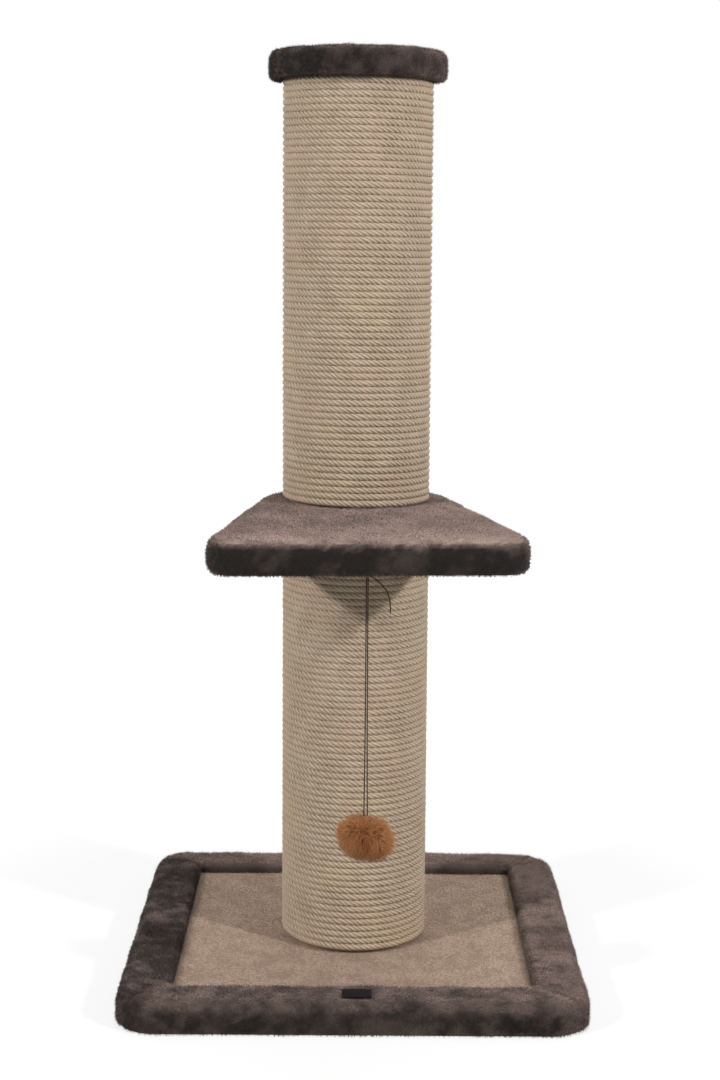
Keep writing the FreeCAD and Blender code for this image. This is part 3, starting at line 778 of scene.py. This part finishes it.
# %% Rope tree
ROPE_DIAMETER = 6 * MM
ROPE_GAP = 0.3 * MM
ROPE_PRESSED_OUT = 0.85 * MM
ROPE_LENGTHS = 3
TURNS_EACH = 21
SLIP_RATE = 45
GIRTH_RATE = 90
ROPE_INPUTS = {
    "Radius": ROPE_DIAMETER / 2 + ROPE_PRESSED_OUT,
    "Lay": 27.4 * MM,
    "Step": 2.5 * MM,
    "Groove": 0.26,
    "Slip": 1.4,
    "Uneven": 0.22,
}


def rope_tree():
    nodes = GeometryTree("rope_lay", "Line", ROPE_INPUTS)
    given = nodes.given

    line = nodes.add("GeometryNodeMeshToCurve", {"Mesh": given["Line"]})
    line = nodes.add("GeometryNodeResampleCurve", {"Curve": line, "Length": given["Step"]}, mode="LENGTH")
    along = nodes.add("GeometryNodeSplineParameter", out="Length")
    line = nodes.stored(line, "along", along)
    slip, lumps = (
        nodes.add("ShaderNodeTexNoise", {"W": along * rate, "Scale": 1.0}, noise_dimensions="1D")
        for rate in (SLIP_RATE, GIRTH_RATE)
    )
    twist = along / given["Lay"] * (2 * math.pi) + (slip - 0.5) * given["Slip"]
    line = nodes.add("GeometryNodeSetCurveTilt", {"Curve": line, "Tilt": twist})
    girth = 1 + (lumps - 0.5) * given["Uneven"]
    line = nodes.add("GeometryNodeSetCurveRadius", {"Curve": line, "Radius": girth})

    ring = nodes.add("GeometryNodeCurvePrimitiveCircle", {"Resolution": 4 * YARNS, "Radius": 1.0})
    place = nodes.add("GeometryNodeInputPosition")
    across, upward = (nodes.add("ShaderNodeSeparateXYZ", {0: place}, out=axis) for axis in (0, 1))
    angle = nodes.maths("ARCTAN2", upward, across)
    crest = nodes.maths("SQRT", nodes.maths("ABSOLUTE", nodes.maths("COSINE", angle * (YARNS / 2))))
    for name, value in (("crest", crest), ("ring_x", across), ("ring_y", upward)):
        ring = nodes.stored(ring, name, value)
    reach = (1 - (1 - crest) * given["Groove"]) * given["Radius"]
    shaped = {"Geometry": ring, "Position": nodes.scaled(place, reach)}
    ring = nodes.add("GeometryNodeSetPosition", shaped)

    swept = {"Curve": line, "Profile Curve": ring, "Fill Caps": True}
    return nodes.end(nodes.finished(nodes.add("GeometryNodeCurveToMesh", swept)))


ROPE = rope_tree()

# %% Wind the posts
WANDER_OUT = 0.25 * MM
WANDER_UP = 0.22 * MM
STEPS_A_TURN = 96
FIBRES_FROM = 0.75
STRAY_FIBRES = {
    "Density": 42000.0, "Width": 0.09 * MM, "Length": 3.2 * MM, "Uneven": 0.6, "Lean": 0.4, "Stray": 1.3,
    "Droop": 0.0, "Patch": 90.0,
}


def rope_line(foot, pitch, radius, first_turn, seed):
    """Points along one length of the winding, which starts and ends at the back."""
    trim = (ROPE_DIAMETER + ROPE_GAP) / (2 * math.pi * radius) / 20
    turns = np.linspace(first_turn + trim, first_turn + TURNS_EACH - trim, TURNS_EACH * STEPS_A_TURN)
    angles = math.pi / 2 - 2 * math.pi * turns
    out = np.array([noise.noise(Vector((turn * 1.9, seed, 0))) for turn in turns])
    up = np.array([noise.noise(Vector((turn * 2.3, seed, 9))) for turn in turns])
    reach = radius + WANDER_OUT * out
    heights = foot + ROPE_DIAMETER / 2 + ROPE_GAP + pitch * turns + WANDER_UP * up
    return np.column_stack((reach * np.cos(angles), reach * np.sin(angles), heights))


def wind(post, seed):
    tube_low, tube_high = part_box(f"{post}_tube")
    radius = tube_high[0] + ROPE_GAP + ROPE_DIAMETER / 2
    room = tube_high[2] - tube_low[2] - ROPE_DIAMETER - 2 * ROPE_GAP
    pitch = room / (TURNS_EACH * ROPE_LENGTHS)
    for index in range(ROPE_LENGTHS):
        points = rope_line(tube_low[2], pitch, radius, index * TURNS_EACH, seed)
        line = bpy.data.meshes.new("rope_line")
        steps = [(i, i + 1) for i in range(len(points) - 1)]
        line.from_pydata([tuple(point) for point in points], steps, [])
        rope = run_tree(line, ROPE, {"Finish": sisal.material})
        rope.shade_smooth()
        outer = (from_axis(points_of(rope)) - radius) / ROPE_DIAMETER + 0.5
        set_values(rope, outer=outer, pile=outer > FIBRES_FROM, nap=outer)
        name = f"{post}_rope_{index + 1}"
        rope = grow(rope, stray_fibre, **STRAY_FIBRES, Seed=seed + index)
        piece(f"{name}_winding", rope, "stand", "sisal", name)
        print(name, len(rope.polygons), "faces")


wind("lower", 11)
wind("upper", 31)

# %% [markdown]
# ## Plush over the rim
# Foam strips stand on the board's edge, and plush is drawn over them: up the outside, over the top, down
# to the carpet, and turned under as a hem. Four strips meet at mitred corners, where the cloth is drawn
# in. The section is carried along the side, round half of each corner, and everything between the cloth
# and the solid's outline is pile.

# %% Rim strips
PLUSH_THICK = 4 * MM
PILE_DEPTH = 2.0 * MM
CLOTH_THICK = 1.2 * MM
TOP_BAND = 6 * MM
rim_low, rim_high = box_of("rim_cover_right")
BASE_HALF = rim_high[0]
RIM_WIDTH = rim_high[0] - rim_low[0]
RIM_TOP = rim_high[2]
BOARD_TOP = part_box("base_board")[1][2]
CORNER_RADIUS = 40 * MM
OPENING_CORNER = 8 * MM
HEM_WIDTH = 24 * MM
HEM_LOW = 0.4 * MM
HEM_HIGH = 1.6 * MM
RIM_OUTER_ROUND = 14 * MM
RIM_INNER_ROUND = 8 * MM
STRAIGHT_SHARE = 0.86
MITRE_START = 0.955
MITRE_SPAN = 0.045
MITRE_DRAWN_IN = 2.4 * MM
MITRE_LIFTS_FROM = 8 * MM
MITRE_LIFTS_OVER = 16 * MM
CORNER_RINGS = 10
STRAIGHT_RINGS = 122
TAG_MARGIN = 1 * MM
# Each strip's level is partly its brushing and partly painted light: darker on the left, paler on the
# right.
RIM_NAP_AND_LIGHT = {"front": 0.66, "right": 0.86, "back": 1.04, "left": 0.18}
NAP_CHANGES_OVER = 30 * MM
BRUSHED_UP = ((-148 * MM, 16 * MM), (-94 * MM, 22 * MM), (146 * MM, 26 * MM), (190 * MM, 8 * MM))
BRUSHED_HEIGHT = 12 * MM
BRUSHED_HALF_HEIGHT = 10 * MM
PLUSH_PILE = {
    "Width": 0.4 * MM, "Length": 2.8 * MM, "Uneven": 0.35, "Lean": 0.55, "Stray": 0.55, "Droop": 0.3,
    "Patch": 16.0,
}
tag_low, tag_high = box_of("blank_tag")


def plush_piece(name, mesh, node, fill=None, skin_share=0.3, **values):
    """Grow plush on a mesh and hand it over as a piece that rides on the stand."""
    cover = grow(mesh, plush, skin_share, **{**PLUSH_PILE, **values})
    item = piece(name, cover, "stand", "plush", node)
    print(name, len(cover.polygons), "faces")


def arc(centre, radius, start, end, count):
    angles = np.radians(np.linspace(start, end, count))
    return [(centre[0] + radius * math.cos(a), centre[1] + radius * math.sin(a)) for a in angles]


def rim_section():
    """The strip's section as (inset from the outer edge, height), and whether pile grows on each point."""
    skin = PILE_DEPTH
    top = RIM_TOP - skin
    far = RIM_WIDTH - skin
    shoulder = RIM_TOP - RIM_OUTER_ROUND
    inner_shoulder = RIM_TOP - RIM_INNER_ROUND
    inner_edge = RIM_WIDTH - RIM_INNER_ROUND
    wall_foot = BOARD_TOP + 0.2 * MM
    hem = [(inset, HEM_LOW) for inset in np.linspace(HEM_WIDTH, skin + 2 * MM, 6)]
    side = [(skin, height) for height in np.linspace(2 * MM, shoulder - 1 * MM, 8)]
    over = arc((RIM_OUTER_ROUND, shoulder), RIM_OUTER_ROUND - skin, 180, 90, 9)
    flat = [(inset, top) for inset in np.linspace(RIM_OUTER_ROUND, inner_edge, 13)[1:-1]]
    turn = arc((inner_edge, inner_shoulder), RIM_INNER_ROUND - skin, 90, 0, 6)
    wall = [(far, height) for height in np.linspace(inner_shoulder - 2 * MM, wall_foot, 5)]
    lining = [
        (far - CLOTH_THICK, wall_foot),
        (far - CLOTH_THICK, inner_shoulder),
        (inner_edge, top - CLOTH_THICK),
        (RIM_OUTER_ROUND, top - CLOTH_THICK),
        (skin + CLOTH_THICK, shoulder),
        (skin + CLOTH_THICK, HEM_HIGH),
        (HEM_WIDTH, HEM_HIGH),
    ]
    skin_points = hem + side + over + flat + turn + wall
    grows = [0] * len(hem) + [1] * (len(skin_points) - len(hem)) + [0] * len(lining)
    return skin_points + lining, grows


def rim_place(inset, share):
    """Where an inset line of the front strip is, from its middle (0) to its mitre (1 or -1)."""
    radius = max(CORNER_RADIUS - inset, OPENING_CORNER)
    half = BASE_HALF - inset
    straight = half - radius
    along = abs(share)
    if along <= STRAIGHT_SHARE:
        x, y = straight * along / STRAIGHT_SHARE, -half
    else:
        angle = (along - STRAIGHT_SHARE) / (1 - STRAIGHT_SHARE) * math.pi / 4
        x, y = straight + radius * math.sin(angle), -straight - radius * math.cos(angle)
    return math.copysign(x, share), y


def rim_nap_and_light(points, upward):
    """The rim's pile and painted light: a level for each side, changing at the corners, with patches."""
    x, y = points[:, 0], points[:, 1]
    lengthwise = np.where(y < 0, RIM_NAP_AND_LIGHT["front"], RIM_NAP_AND_LIGHT["back"])
    crosswise = np.where(x < 0, RIM_NAP_AND_LIGHT["left"], RIM_NAP_AND_LIGHT["right"])
    turned = smooth_step(np.abs(x) - np.abs(y), -NAP_CHANGES_OVER, NAP_CHANGES_OVER)
    level = lengthwise * (1 - turned) + crosswise * turned
    nap = np.clip(level - 0.5 + brushed_patches(points, 0.5, 0.45, 42, 3), 0, 1)
    # Painted light: the sides darker than the top.
    nap *= 0.7 + 0.3 * smooth_step(upward, 0.1, 0.6)
    ragged = brushed_patches(points, 0.0, 0.4, 70, 12) - brushed_patches(points, 0.0, 0.4, 80, 13)
    above = ((points[:, 2] - BRUSHED_HEIGHT) / BRUSHED_HALF_HEIGHT) ** 2
    for middle, half in BRUSHED_UP:
        blot = np.exp(-((x - middle) / half) ** 2 - above) + ragged
        nap *= 1 - 0.75 * (y < RIM_OUTER_ROUND - BASE_HALF) * smooth_step(blot, 0.35, 0.9)
    return nap


def rim_strip(side, quarter):
    section, grows = rim_section()
    corner = np.append(np.linspace(STRAIGHT_SHARE, 0.9995, CORNER_RINGS), 1)
    straight = np.linspace(-STRAIGHT_SHARE, STRAIGHT_SHARE, STRAIGHT_RINGS)[1:-1]
    shares = np.concatenate((-corner[::-1], straight, corner))
    rings = []
    for share in shares:
        pull = MITRE_DRAWN_IN * max(0.0, (abs(share) - MITRE_START) / MITRE_SPAN) ** 2
        ring = []
        for (inset, height), pile in zip(section, grows):
            x, y = rim_place(inset, share)
            lift = pile * pull * min(1.0, max(0.0, (height - MITRE_LIFTS_FROM) / MITRE_LIFTS_OVER))
            ring.append((x, y, height - lift))
        rings.append(np.array(ring))
    mesh = face_outwards(ring_mesh(f"rim_{side}", rings, plush, closed_ends=True))
    weight = np.tile(grows, (len(shares), 1)).astype(float)
    ways = vertex_normals(mesh).reshape(len(shares), -1, 3) * weight[:, :, None]
    ways[[0, -1]] = ways[[1, -2]]
    weight[[0, -1]] = 0
    spin = np.array(Matrix.Rotation(quarter * math.pi / 2, 3, "Z")).T
    loose = ways.reshape(-1, 3) @ spin
    points = padded_out(np.concatenate(rings) @ spin, loose, 1.3 * MM, 28, 0.6 * MM, 1)
    under_tag = np.zeros(len(points), bool)
    if side == "front":
        flat = points[:, :2]
        in_reach = (flat > tag_low[:2] - TAG_MARGIN) & (flat < tag_high[:2] + TAG_MARGIN)
        under_tag = in_reach.all(axis=1) & (points[:, 2] > RIM_TOP - TOP_BAND)
    mesh.vertices.foreach_set("co", points.ravel())
    set_values(mesh, pile=weight.ravel() * ~under_tag, tip=0.45, nap=rim_nap_and_light(points, loose[:, 2]))
    mesh.update()
    plush_piece(f"rim_plush_{side}", mesh, f"rim_cover_{side}", fill=0.8, skin_share=0.5,
                Density=500000.0, Seed=50 + quarter)


for quarter, side in enumerate(("front", "right", "back", "left")):
    rim_strip(side, quarter)

# %% [markdown]
# ## Perch and cap
# The perch is a padded board, wide in front and narrow behind, and the cap a padded disc. Cloth goes over
# the padding, down the edge and under. Both are outlines drawn in by steps: rings run from the hem, round
# the edge, over the top to the middle, and back along the cloth's inside. The padding stands up a little
# and is pressed down under the post.

# %% Perch
POST_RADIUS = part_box("upper_rope_1")[1][0]
PERCH_FRONT_WIDTH = 300 * MM
PERCH_BACK_WIDTH = 167 * MM
PERCH_FRONT = 264 * MM
PERCH_BACK = 88 * MM
PERCH_CORNER = 26 * MM
PERCH_LOW, PERCH_TOP = (corner[2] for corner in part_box("platform_cover"))
PERCH_EDGE_ROUND = 11 * MM
PERCH_UNDER_ROUND = 10 * MM
PERCH_HEM = 24 * MM
PERCH_HOLE = 5 * MM
PERCH_PUFF = 0.8 * MM
PERCH_RISE_MM = 2.2
RISES_FROM = POST_RADIUS - 9 * MM
RISES_TO = POST_RADIUS + 1 * MM
SQUEEZED_REACH = 14 * MM
FIRM_BELOW = PERCH_LOW + 3 * MM
LOOSE_ABOVE = PERCH_LOW + 14 * MM
LOOSE_BEYOND = 100 * MM
# Where the painted highlight along the perch's front edge starts, and how far back it fades.
RIDGE_HIGHLIGHT_START = 8 * MM
RIDGE_HIGHLIGHT_REACH = 28 * MM


def rounded_outline(corners, radii, count):
    """Evenly spaced points round an outline whose corners are rounded."""
    path = []
    total = len(corners)
    for index, radius in enumerate(radii):
        before, corner, after = (np.array(corners[(index + k) % total]) for k in (-1, 0, 1))
        into = (corner - before) / np.linalg.norm(corner - before)
        away = (after - corner) / np.linalg.norm(after - corner)
        turn = math.acos(np.clip(np.dot(into, away), -1, 1))
        reach = radius * math.tan(turn / 2)
        inward = np.array((-into[1], into[0]))
        centre = corner - into * reach + inward * radius
        start = math.atan2(-inward[1], -inward[0])
        for step in np.linspace(0, turn, 16):
            path.append(centre + radius * np.array((math.cos(start + step), math.sin(start + step))))
    path = np.array(path + path[:1])
    lengths = np.concatenate(([0], np.cumsum(np.linalg.norm(np.diff(path, axis=0), axis=1))))
    places = np.linspace(0, lengths[-1], count, endpoint=False)
    return np.column_stack([np.interp(places, lengths, path[:, axis]) for axis in (0, 1)])


def perch_outline(inset, count):
    taper = (PERCH_FRONT_WIDTH - PERCH_BACK_WIDTH) / 2 / (PERCH_FRONT + PERCH_BACK)
    slant = math.hypot(1, taper)
    front = PERCH_FRONT_WIDTH / 2 - inset * (slant + taper)
    back = PERCH_BACK_WIDTH / 2 - inset * (slant - taper)
    corners = [(-front, inset - PERCH_FRONT), (front, inset - PERCH_FRONT),
               (back, PERCH_BACK - inset), (-back, PERCH_BACK - inset)]
    front_radius = max(PERCH_CORNER - inset, 4 * MM)
    back_radius = PERCH_BACK_WIDTH / 2 - inset
    return rounded_outline(corners, (front_radius, front_radius, back_radius, back_radius), count)


def drawn_in(outline, hole, share):
    """An outline drawn in towards a small round hole at the post's axis."""
    ways = outline / np.linalg.norm(outline, axis=1)[:, None]
    return outline * (1 - share) + ways * hole * share


def slab_rings(outline_at, count, low, top, edge_round, under_round, hem, hole, steps):
    """Rings of a wrapped slab: hem, edge, top, then back along the cloth's inside; and where pile grows."""
    skin = PILE_DEPTH
    rings = []
    grows = []

    def ring(flat, height, pile):
        rings.append(flat_ring(flat, height))
        grows.append(pile)

    for inset in np.linspace(hem, skin + under_round * 0.5, 6):
        ring(outline_at(inset, count), low + skin, 0.6)
    for inset, height in arc((under_round, low + under_round), under_round - skin, 245, 180, 6):
        ring(outline_at(inset, count), height, 1)
    for height in np.linspace(low + under_round, top - edge_round, 6)[1:-1]:
        ring(outline_at(skin, count), height, 1)
    for inset, height in arc((edge_round, top - edge_round), edge_round - skin, 180, 90, 8):
        ring(outline_at(inset, count), height, 1)
    rim = outline_at(edge_round, count)
    for share in np.linspace(0, 1, steps)[1:]:
        ring(drawn_in(rim, hole, share), top - skin, 1)
    for share in np.linspace(1, 0, 6):
        ring(drawn_in(rim, hole, share), top - skin - CLOTH_THICK, 0)
    inside = low + PLUSH_THICK - 0.3 * MM
    ring(outline_at(skin + CLOTH_THICK, count), top - edge_round, 0)
    ring(outline_at(skin + CLOTH_THICK, count), low + under_round, 0)
    ring(outline_at(under_round * 0.55, count), inside, 0)
    ring(outline_at(hem, count), inside, 0)
    return rings, np.repeat(grows, count).astype(float)


def turn_with_perch(mesh, points):
    """Put a mesh's points in place, turned as the perch is."""
    spin = Matrix.Rotation(PERCH_TURN, 3, "Z")
    mesh.vertices.foreach_set("co", (points @ np.array(spin).T).ravel())


def perch():
    rings, weight = slab_rings(perch_outline, 400, PERCH_LOW, PERCH_TOP, PERCH_EDGE_ROUND,
                               PERCH_UNDER_ROUND, PERCH_HEM, PERCH_HOLE, 44)
    mesh = face_outwards(ring_mesh("perch", rings, plush))
    points = np.concatenate(rings)
    reach = from_axis(points)
    on_top = (points[:, 2] > PERCH_TOP - TOP_BAND) * smooth_step(reach, RISES_FROM, RISES_TO)
    loose = vertex_normals(mesh) * (weight * smooth_step(reach, POST_RADIUS, LOOSE_BEYOND))[:, None]
    points = points + loose * PERCH_PUFF
    loose *= 0.25 + 0.75 * smooth_step(points[:, 2], FIRM_BELOW, LOOSE_ABOVE)[:, None]
    points = padded_out(points, loose, 1.2 * MM, 22, 0.5 * MM, 7)
    squeezed = np.exp(-(((reach - POST_RADIUS) / SQUEEZED_REACH) ** 2))
    points[:, 2] += on_top * (PERCH_RISE_MM + squeezed) * MM
    under_post = reach < POST_RADIUS - 2 * MM
    turn_with_perch(mesh, points)
    upward = vertex_normals(mesh)[:, 2]
    # Painted light in the nap value: the top paler than the edge and underside, the right side paler as the
    # light falls from the right, and a painted highlight along the front edge. The patches are brushed
    # pile.
    ridge_highlight = np.exp(-np.maximum(points[:, 1] + PERCH_FRONT - RIDGE_HIGHLIGHT_START, 0) / RIDGE_HIGHLIGHT_REACH)
    over = smooth_step(upward + brushed_patches(points, 0.12, 0.12, 110, 25) - 0.12, 0.22, 0.68)
    lying = brushed_patches(points, 0.61, 0.2, 40, 5) + 0.6 * points[:, 0] + 0.54 * ridge_highlight
    nap = lying * over + brushed_patches(points, 0.13, 0.3, 34, 15) * (1 - over)
    set_values(mesh, pile=weight * ~under_post, tip=0.4 + 0.5 * ridge_highlight * over, nap=np.clip(nap, 0, 1.5))
    mesh.update()
    plush_piece("perch_plush", mesh, "platform_cover", fill=0.85, skin_share=0.7, Density=325000.0, Seed=70)


perch()

# %% Underside of the perch
UNDER_INSET = 24.3 * MM
UNDER_SKIN = PERCH_LOW + 1.6 * MM


def perch_underside():
    outline = perch_outline(UNDER_INSET, 220)
    rings = [flat_ring(drawn_in(outline, PERCH_HOLE, share), UNDER_SKIN) for share in np.linspace(0, 1, 26)]
    for share in (1, 0):
        rings.append(flat_ring(drawn_in(outline, PERCH_HOLE, share), PERCH_LOW + PLUSH_THICK))
    mesh = face_outwards(ring_mesh("perch_underside", rings, plush))
    points = np.concatenate(rings)
    turn_with_perch(mesh, points)
    below = (points[:, 2] < PERCH_LOW + 2 * MM) & (from_axis(points) > POST_RADIUS)
    set_values(mesh, pile=below, tip=0.4, nap=brushed_patches(points, 0.4, 0.4, 40, 6))
    mesh.update()
    plush_piece("perch_underside_plush", mesh, "platform_underside",
                Density=300000.0, Length=1.9 * MM, Seed=80)


perch_underside()

# %% Cap
cap_low, cap_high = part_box("cap_cover")
CAP_RADIUS = cap_high[0]
CAP_TOP = cap_high[2]
CAP_EDGE_ROUND = 10 * MM
CAP_UNDER_ROUND = 6 * MM
CAP_CROWN = 3 * MM
CAP_HEM = CAP_RADIUS - POST_RADIUS - 1.2 * MM
TINY_HOLE = 0.6 * MM


def cap_outline(inset, count):
    angles = circle_angles(count)
    return (CAP_RADIUS - inset) * np.column_stack((np.cos(angles), np.sin(angles)))


def cap():
    rings, weight = slab_rings(cap_outline, 200, cap_low[2], CAP_TOP, CAP_EDGE_ROUND, CAP_UNDER_ROUND,
                               CAP_HEM, TINY_HOLE, 26)
    mesh = face_outwards(ring_mesh("cap", rings, plush))
    points = np.concatenate(rings)
    loose = vertex_normals(mesh) * weight[:, None]
    points = padded_out(points, loose, 1.3 * MM, 30, 0.6 * MM, 9)
    crown = 1 - smooth_step(from_axis(points), 0, CAP_RADIUS)
    points[:, 2] += (points[:, 2] > CAP_TOP - 8 * MM) * crown * CAP_CROWN
    mesh.vertices.foreach_set("co", points.ravel())
    # Painted light: the cap is paler to the right, as the light falls from the right. The patches are
    # brushed pile.
    nap = brushed_patches(points, 0.29, 0.34, 70, 8) + points[:, 0] / CAP_RADIUS * 0.27
    set_values(mesh, pile=weight, tip=0.4, nap=nap)
    mesh.update()
    plush_piece("cap_plush", mesh, "cap_cover", fill=0.85, Density=450000.0, Seed=90)


cap()

# %% [markdown]
# ## Carpet
# The panel inside the rim is a short, dense felt in mixed beige yarns. It is a slab with a low, upright
# pile.

# %% Carpet panel
CARPET_PILE = 1.2 * MM
CARPET_CELLS = 64


def carpet():
    low, high = box_of("carpet_panel")
    row = CARPET_CELLS + 1
    top = high[2] - CARPET_PILE * 0.7
    xs, ys = (np.linspace(low[axis], high[axis], row) for axis in (0, 1))
    grid = np.array([(x, y, top) for y in ys for x in xs])
    edge = grid_edge(row, row)
    foot = grid[edge]
    foot[:, 2] = low[2]
    first = len(grid)
    count = len(edge)
    faces = grid_faces(row, row)
    faces += [(edge[(k + 1) % count], edge[k], first + k, first + (k + 1) % count) for k in range(count)]
    faces.append(tuple(first + k for k in reversed(range(count))))
    points = np.concatenate((grid, foot))
    pile = np.concatenate((np.ones(len(grid)), np.zeros(count)))
    pile *= from_axis(points) > POST_RADIUS - 3 * MM
    mesh = face_outwards(mesh_of("carpet", points, faces, carpet_pile))
    set_values(mesh, pile=pile, tip=0.5, nap=brushed_patches(points, 0.5, 0.4, 40, 4))
    panel = grow(mesh, carpet_pile, Density=200000.0, Width=1.1 * MM, Length=CARPET_PILE, Uneven=0.5,
                 Lean=0.3, Stray=0.8, Droop=0.0, Patch=30.0, Speckle=0.7, Seed=100)
    piece("carpet_felt", panel, "stand", "carpet", "carpet_panel")
    print("carpet_felt", len(panel.polygons), "faces")


carpet()

# %% [markdown]
# ## Tag and backing
# A small folded ribbon is sewn to the front rim. It stays bare. It is a thin strip that bows over the
# plush. Under the base, a sheet of felt covers the board.

# %% Tag
TAG_SUNK = 0.4 * MM
TAG_BOW = 1.1 * MM


def tag():
    across = np.linspace(tag_low[0], tag_high[0], 15)
    deep = np.linspace(tag_low[1], tag_high[1], 11)
    middle = (tag_low + tag_high) / 2
    half = (tag_high - tag_low) / 2
    x, y = (values.ravel() for values in np.meshgrid(across, deep))
    bow = 1 - 0.7 * ((y - middle[1]) / half[1]) ** 2 - 0.3 * ((x - middle[0]) / half[0]) ** 2
    under = np.column_stack((x, y, tag_low[2] - TAG_SUNK + TAG_BOW * bow))
    over = under + (0, 0, tag_high[2] - tag_low[2])
    size = len(under)
    quads = grid_faces(len(across), len(deep))
    edge = grid_edge(len(across), len(deep))
    faces = [tuple(reversed(quad)) for quad in quads]
    faces += [tuple(size + k for k in quad) for quad in quads]
    faces += [(a, b, size + b, size + a) for a, b in zip(edge, edge[1:] + edge[:1])]
    mesh = face_outwards(mesh_of("tag", np.concatenate((under, over)), faces, ribbon))
    item = piece("bare_tag", mesh, "stand", "tag", "blank_tag")


tag()

# %% Backing under the base


def backing():
    low, high = box_of("base_backing")
    half = high[0]
    radius = CORNER_RADIUS - (BASE_HALF - half)
    corners = [(-half, -half), (half, -half), (half, half), (-half, half)]
    outline = rounded_outline(corners, [radius] * 4, 200)
    rings = [flat_ring(drawn_in(outline, TINY_HOLE, share), height)
             for height, shares in ((low[2], np.linspace(1, 0, 24)), (high[2], np.linspace(0, 1, 24)))
             for share in shares]
    mesh = face_outwards(ring_mesh("backing", rings, felt))
    item = piece("base_felt", mesh, "stand", "backing", "base_backing")
    print(item.name, len(mesh.polygons), "faces")


backing()

# %% [markdown]
# ## Solids that stay
# Boards, plugs, tubes, foam and fastenings keep their solids, because their shapes are already right.
# Each gets its finish.

# %% Finish the solids
SOLID_FINISHES = {
    "board": board, "card": card, "foam": foam, "steel": steel, "backing": felt, "elastic": elastic,
    "plush": plush, "sisal": sisal, "carpet": carpet_pile, "fur": fur, "tag": ribbon,
}
for subpart in frame["record"]["subparts"]:
    solid = frame["nodes"][subpart["node"]]
    solid.data.materials.clear()
    solid.data.materials.append(SOLID_FINISHES[subpart["material_slot"]].material)

# %% [markdown]
# ## Studio
# Two small lamps stand in front, to the left and to the right, and throw the perch's shadow on the post
# from both sides, as in the photograph. The right one is a little stronger. A wide lamp overhead and a
# pale background fill the shadows in. The floor and the background are white to the camera, and the floor
# keeps a faint shadow of the post. From below, the floor is clear.

# %% Floor, light and background
FLOOR_HALF = 6.0
FLOOR_DROP = 0.2 * MM
LIT_MIDDLE = (0, 0, 0.44)
LAMP_SIDE_ANGLE = 52
LAMP_HEIGHT_ANGLE = 25
LAMP_DISTANCE = 3.2
LAMP_SIZE = 0.16
AMBIENT = 0.3


def floor_finish():
    finish = Finish("floor", 0.9)
    finish.surface.inputs["Base Color"].default_value = (0.5, 0.5, 0.5, 1)
    seen = finish.add("ShaderNodeLightPath", out="Is Camera Ray")
    away = finish.add("ShaderNodeVectorMath", {0: finish.place}, out=1, operation="LENGTH")
    fade = 0.76 + finish.span(away, 0.4, 1.1) * 0.24
    glow = finish.add("ShaderNodeEmission", {"Color": (1, 1, 1, 1), "Strength": fade})
    matt = finish.add("ShaderNodeBsdfDiffuse", {"Color": (0.3, 0.3, 0.3, 1)})
    white = finish.add("ShaderNodeAddShader", {0: glow, 1: matt})
    plain = Wire(finish, finish.surface.outputs[0])
    mixed = finish.add("ShaderNodeMixShader", {0: seen, 1: plain, 2: white})
    from_below = finish.add("ShaderNodeNewGeometry", out="Backfacing")
    clear = finish.add("ShaderNodeBsdfTransparent")
    return finish.shown(finish.add("ShaderNodeMixShader", {0: from_below, 1: mixed, 2: clear}))


floor_corners = [
    (x * FLOOR_HALF, y * FLOOR_HALF, -FLOOR_DROP) for x, y in ((-1, -1), (1, -1), (1, 1), (-1, 1))
]
floor_mesh = mesh_of("floor", floor_corners, [(0, 1, 2, 3)], floor_finish())
floor = new_object("floor", floor_mesh)


def soft_light(name, place, aim, size, power):
    lamp = bpy.data.lights.new(name, "AREA")
    lamp.shape = "DISK"
    lamp.size = size
    lamp.energy = power
    item = new_object(name, lamp)
    item.location = place
    item.rotation_euler = (Vector(aim) - Vector(place)).to_track_quat("-Z", "Y").to_euler()


def lamp_place(side_angle):
    """A place at an angle from the front (to the right is positive) and above the lit middle."""
    side, up = math.radians(side_angle), math.radians(LAMP_HEIGHT_ANGLE)
    way = Vector((math.sin(side) * math.cos(up), -math.cos(side) * math.cos(up), math.sin(up)))
    return Vector(LIT_MIDDLE) + way * LAMP_DISTANCE


soft_light("left_lamp", lamp_place(-LAMP_SIDE_ANGLE), LIT_MIDDLE, LAMP_SIZE, 45)
soft_light("right_lamp", lamp_place(LAMP_SIDE_ANGLE), LIT_MIDDLE, LAMP_SIZE, 51)
soft_light("overhead", (0.2, 0.8, 3.2), LIT_MIDDLE, 2.0, 18)

world = bpy.data.worlds.new("studio")
bpy.context.scene.world = world
world.use_nodes = True
sky = Nodes(world.node_tree)
straight_on = sky.add("ShaderNodeLightPath", out="Is Camera Ray")
shiny = sky.add("ShaderNodeLightPath", out="Is Glossy Ray")
to_white = sky.maths("MAXIMUM", straight_on, shiny)
backdrop = world.node_tree.nodes["Background"]
backdrop.inputs["Color"].default_value = (1, 1, 1, 1)
world.node_tree.links.new((AMBIENT + to_white * (1 - AMBIENT)).socket, backdrop.inputs["Strength"])
bpy.context.scene.view_settings.view_transform = "Standard"
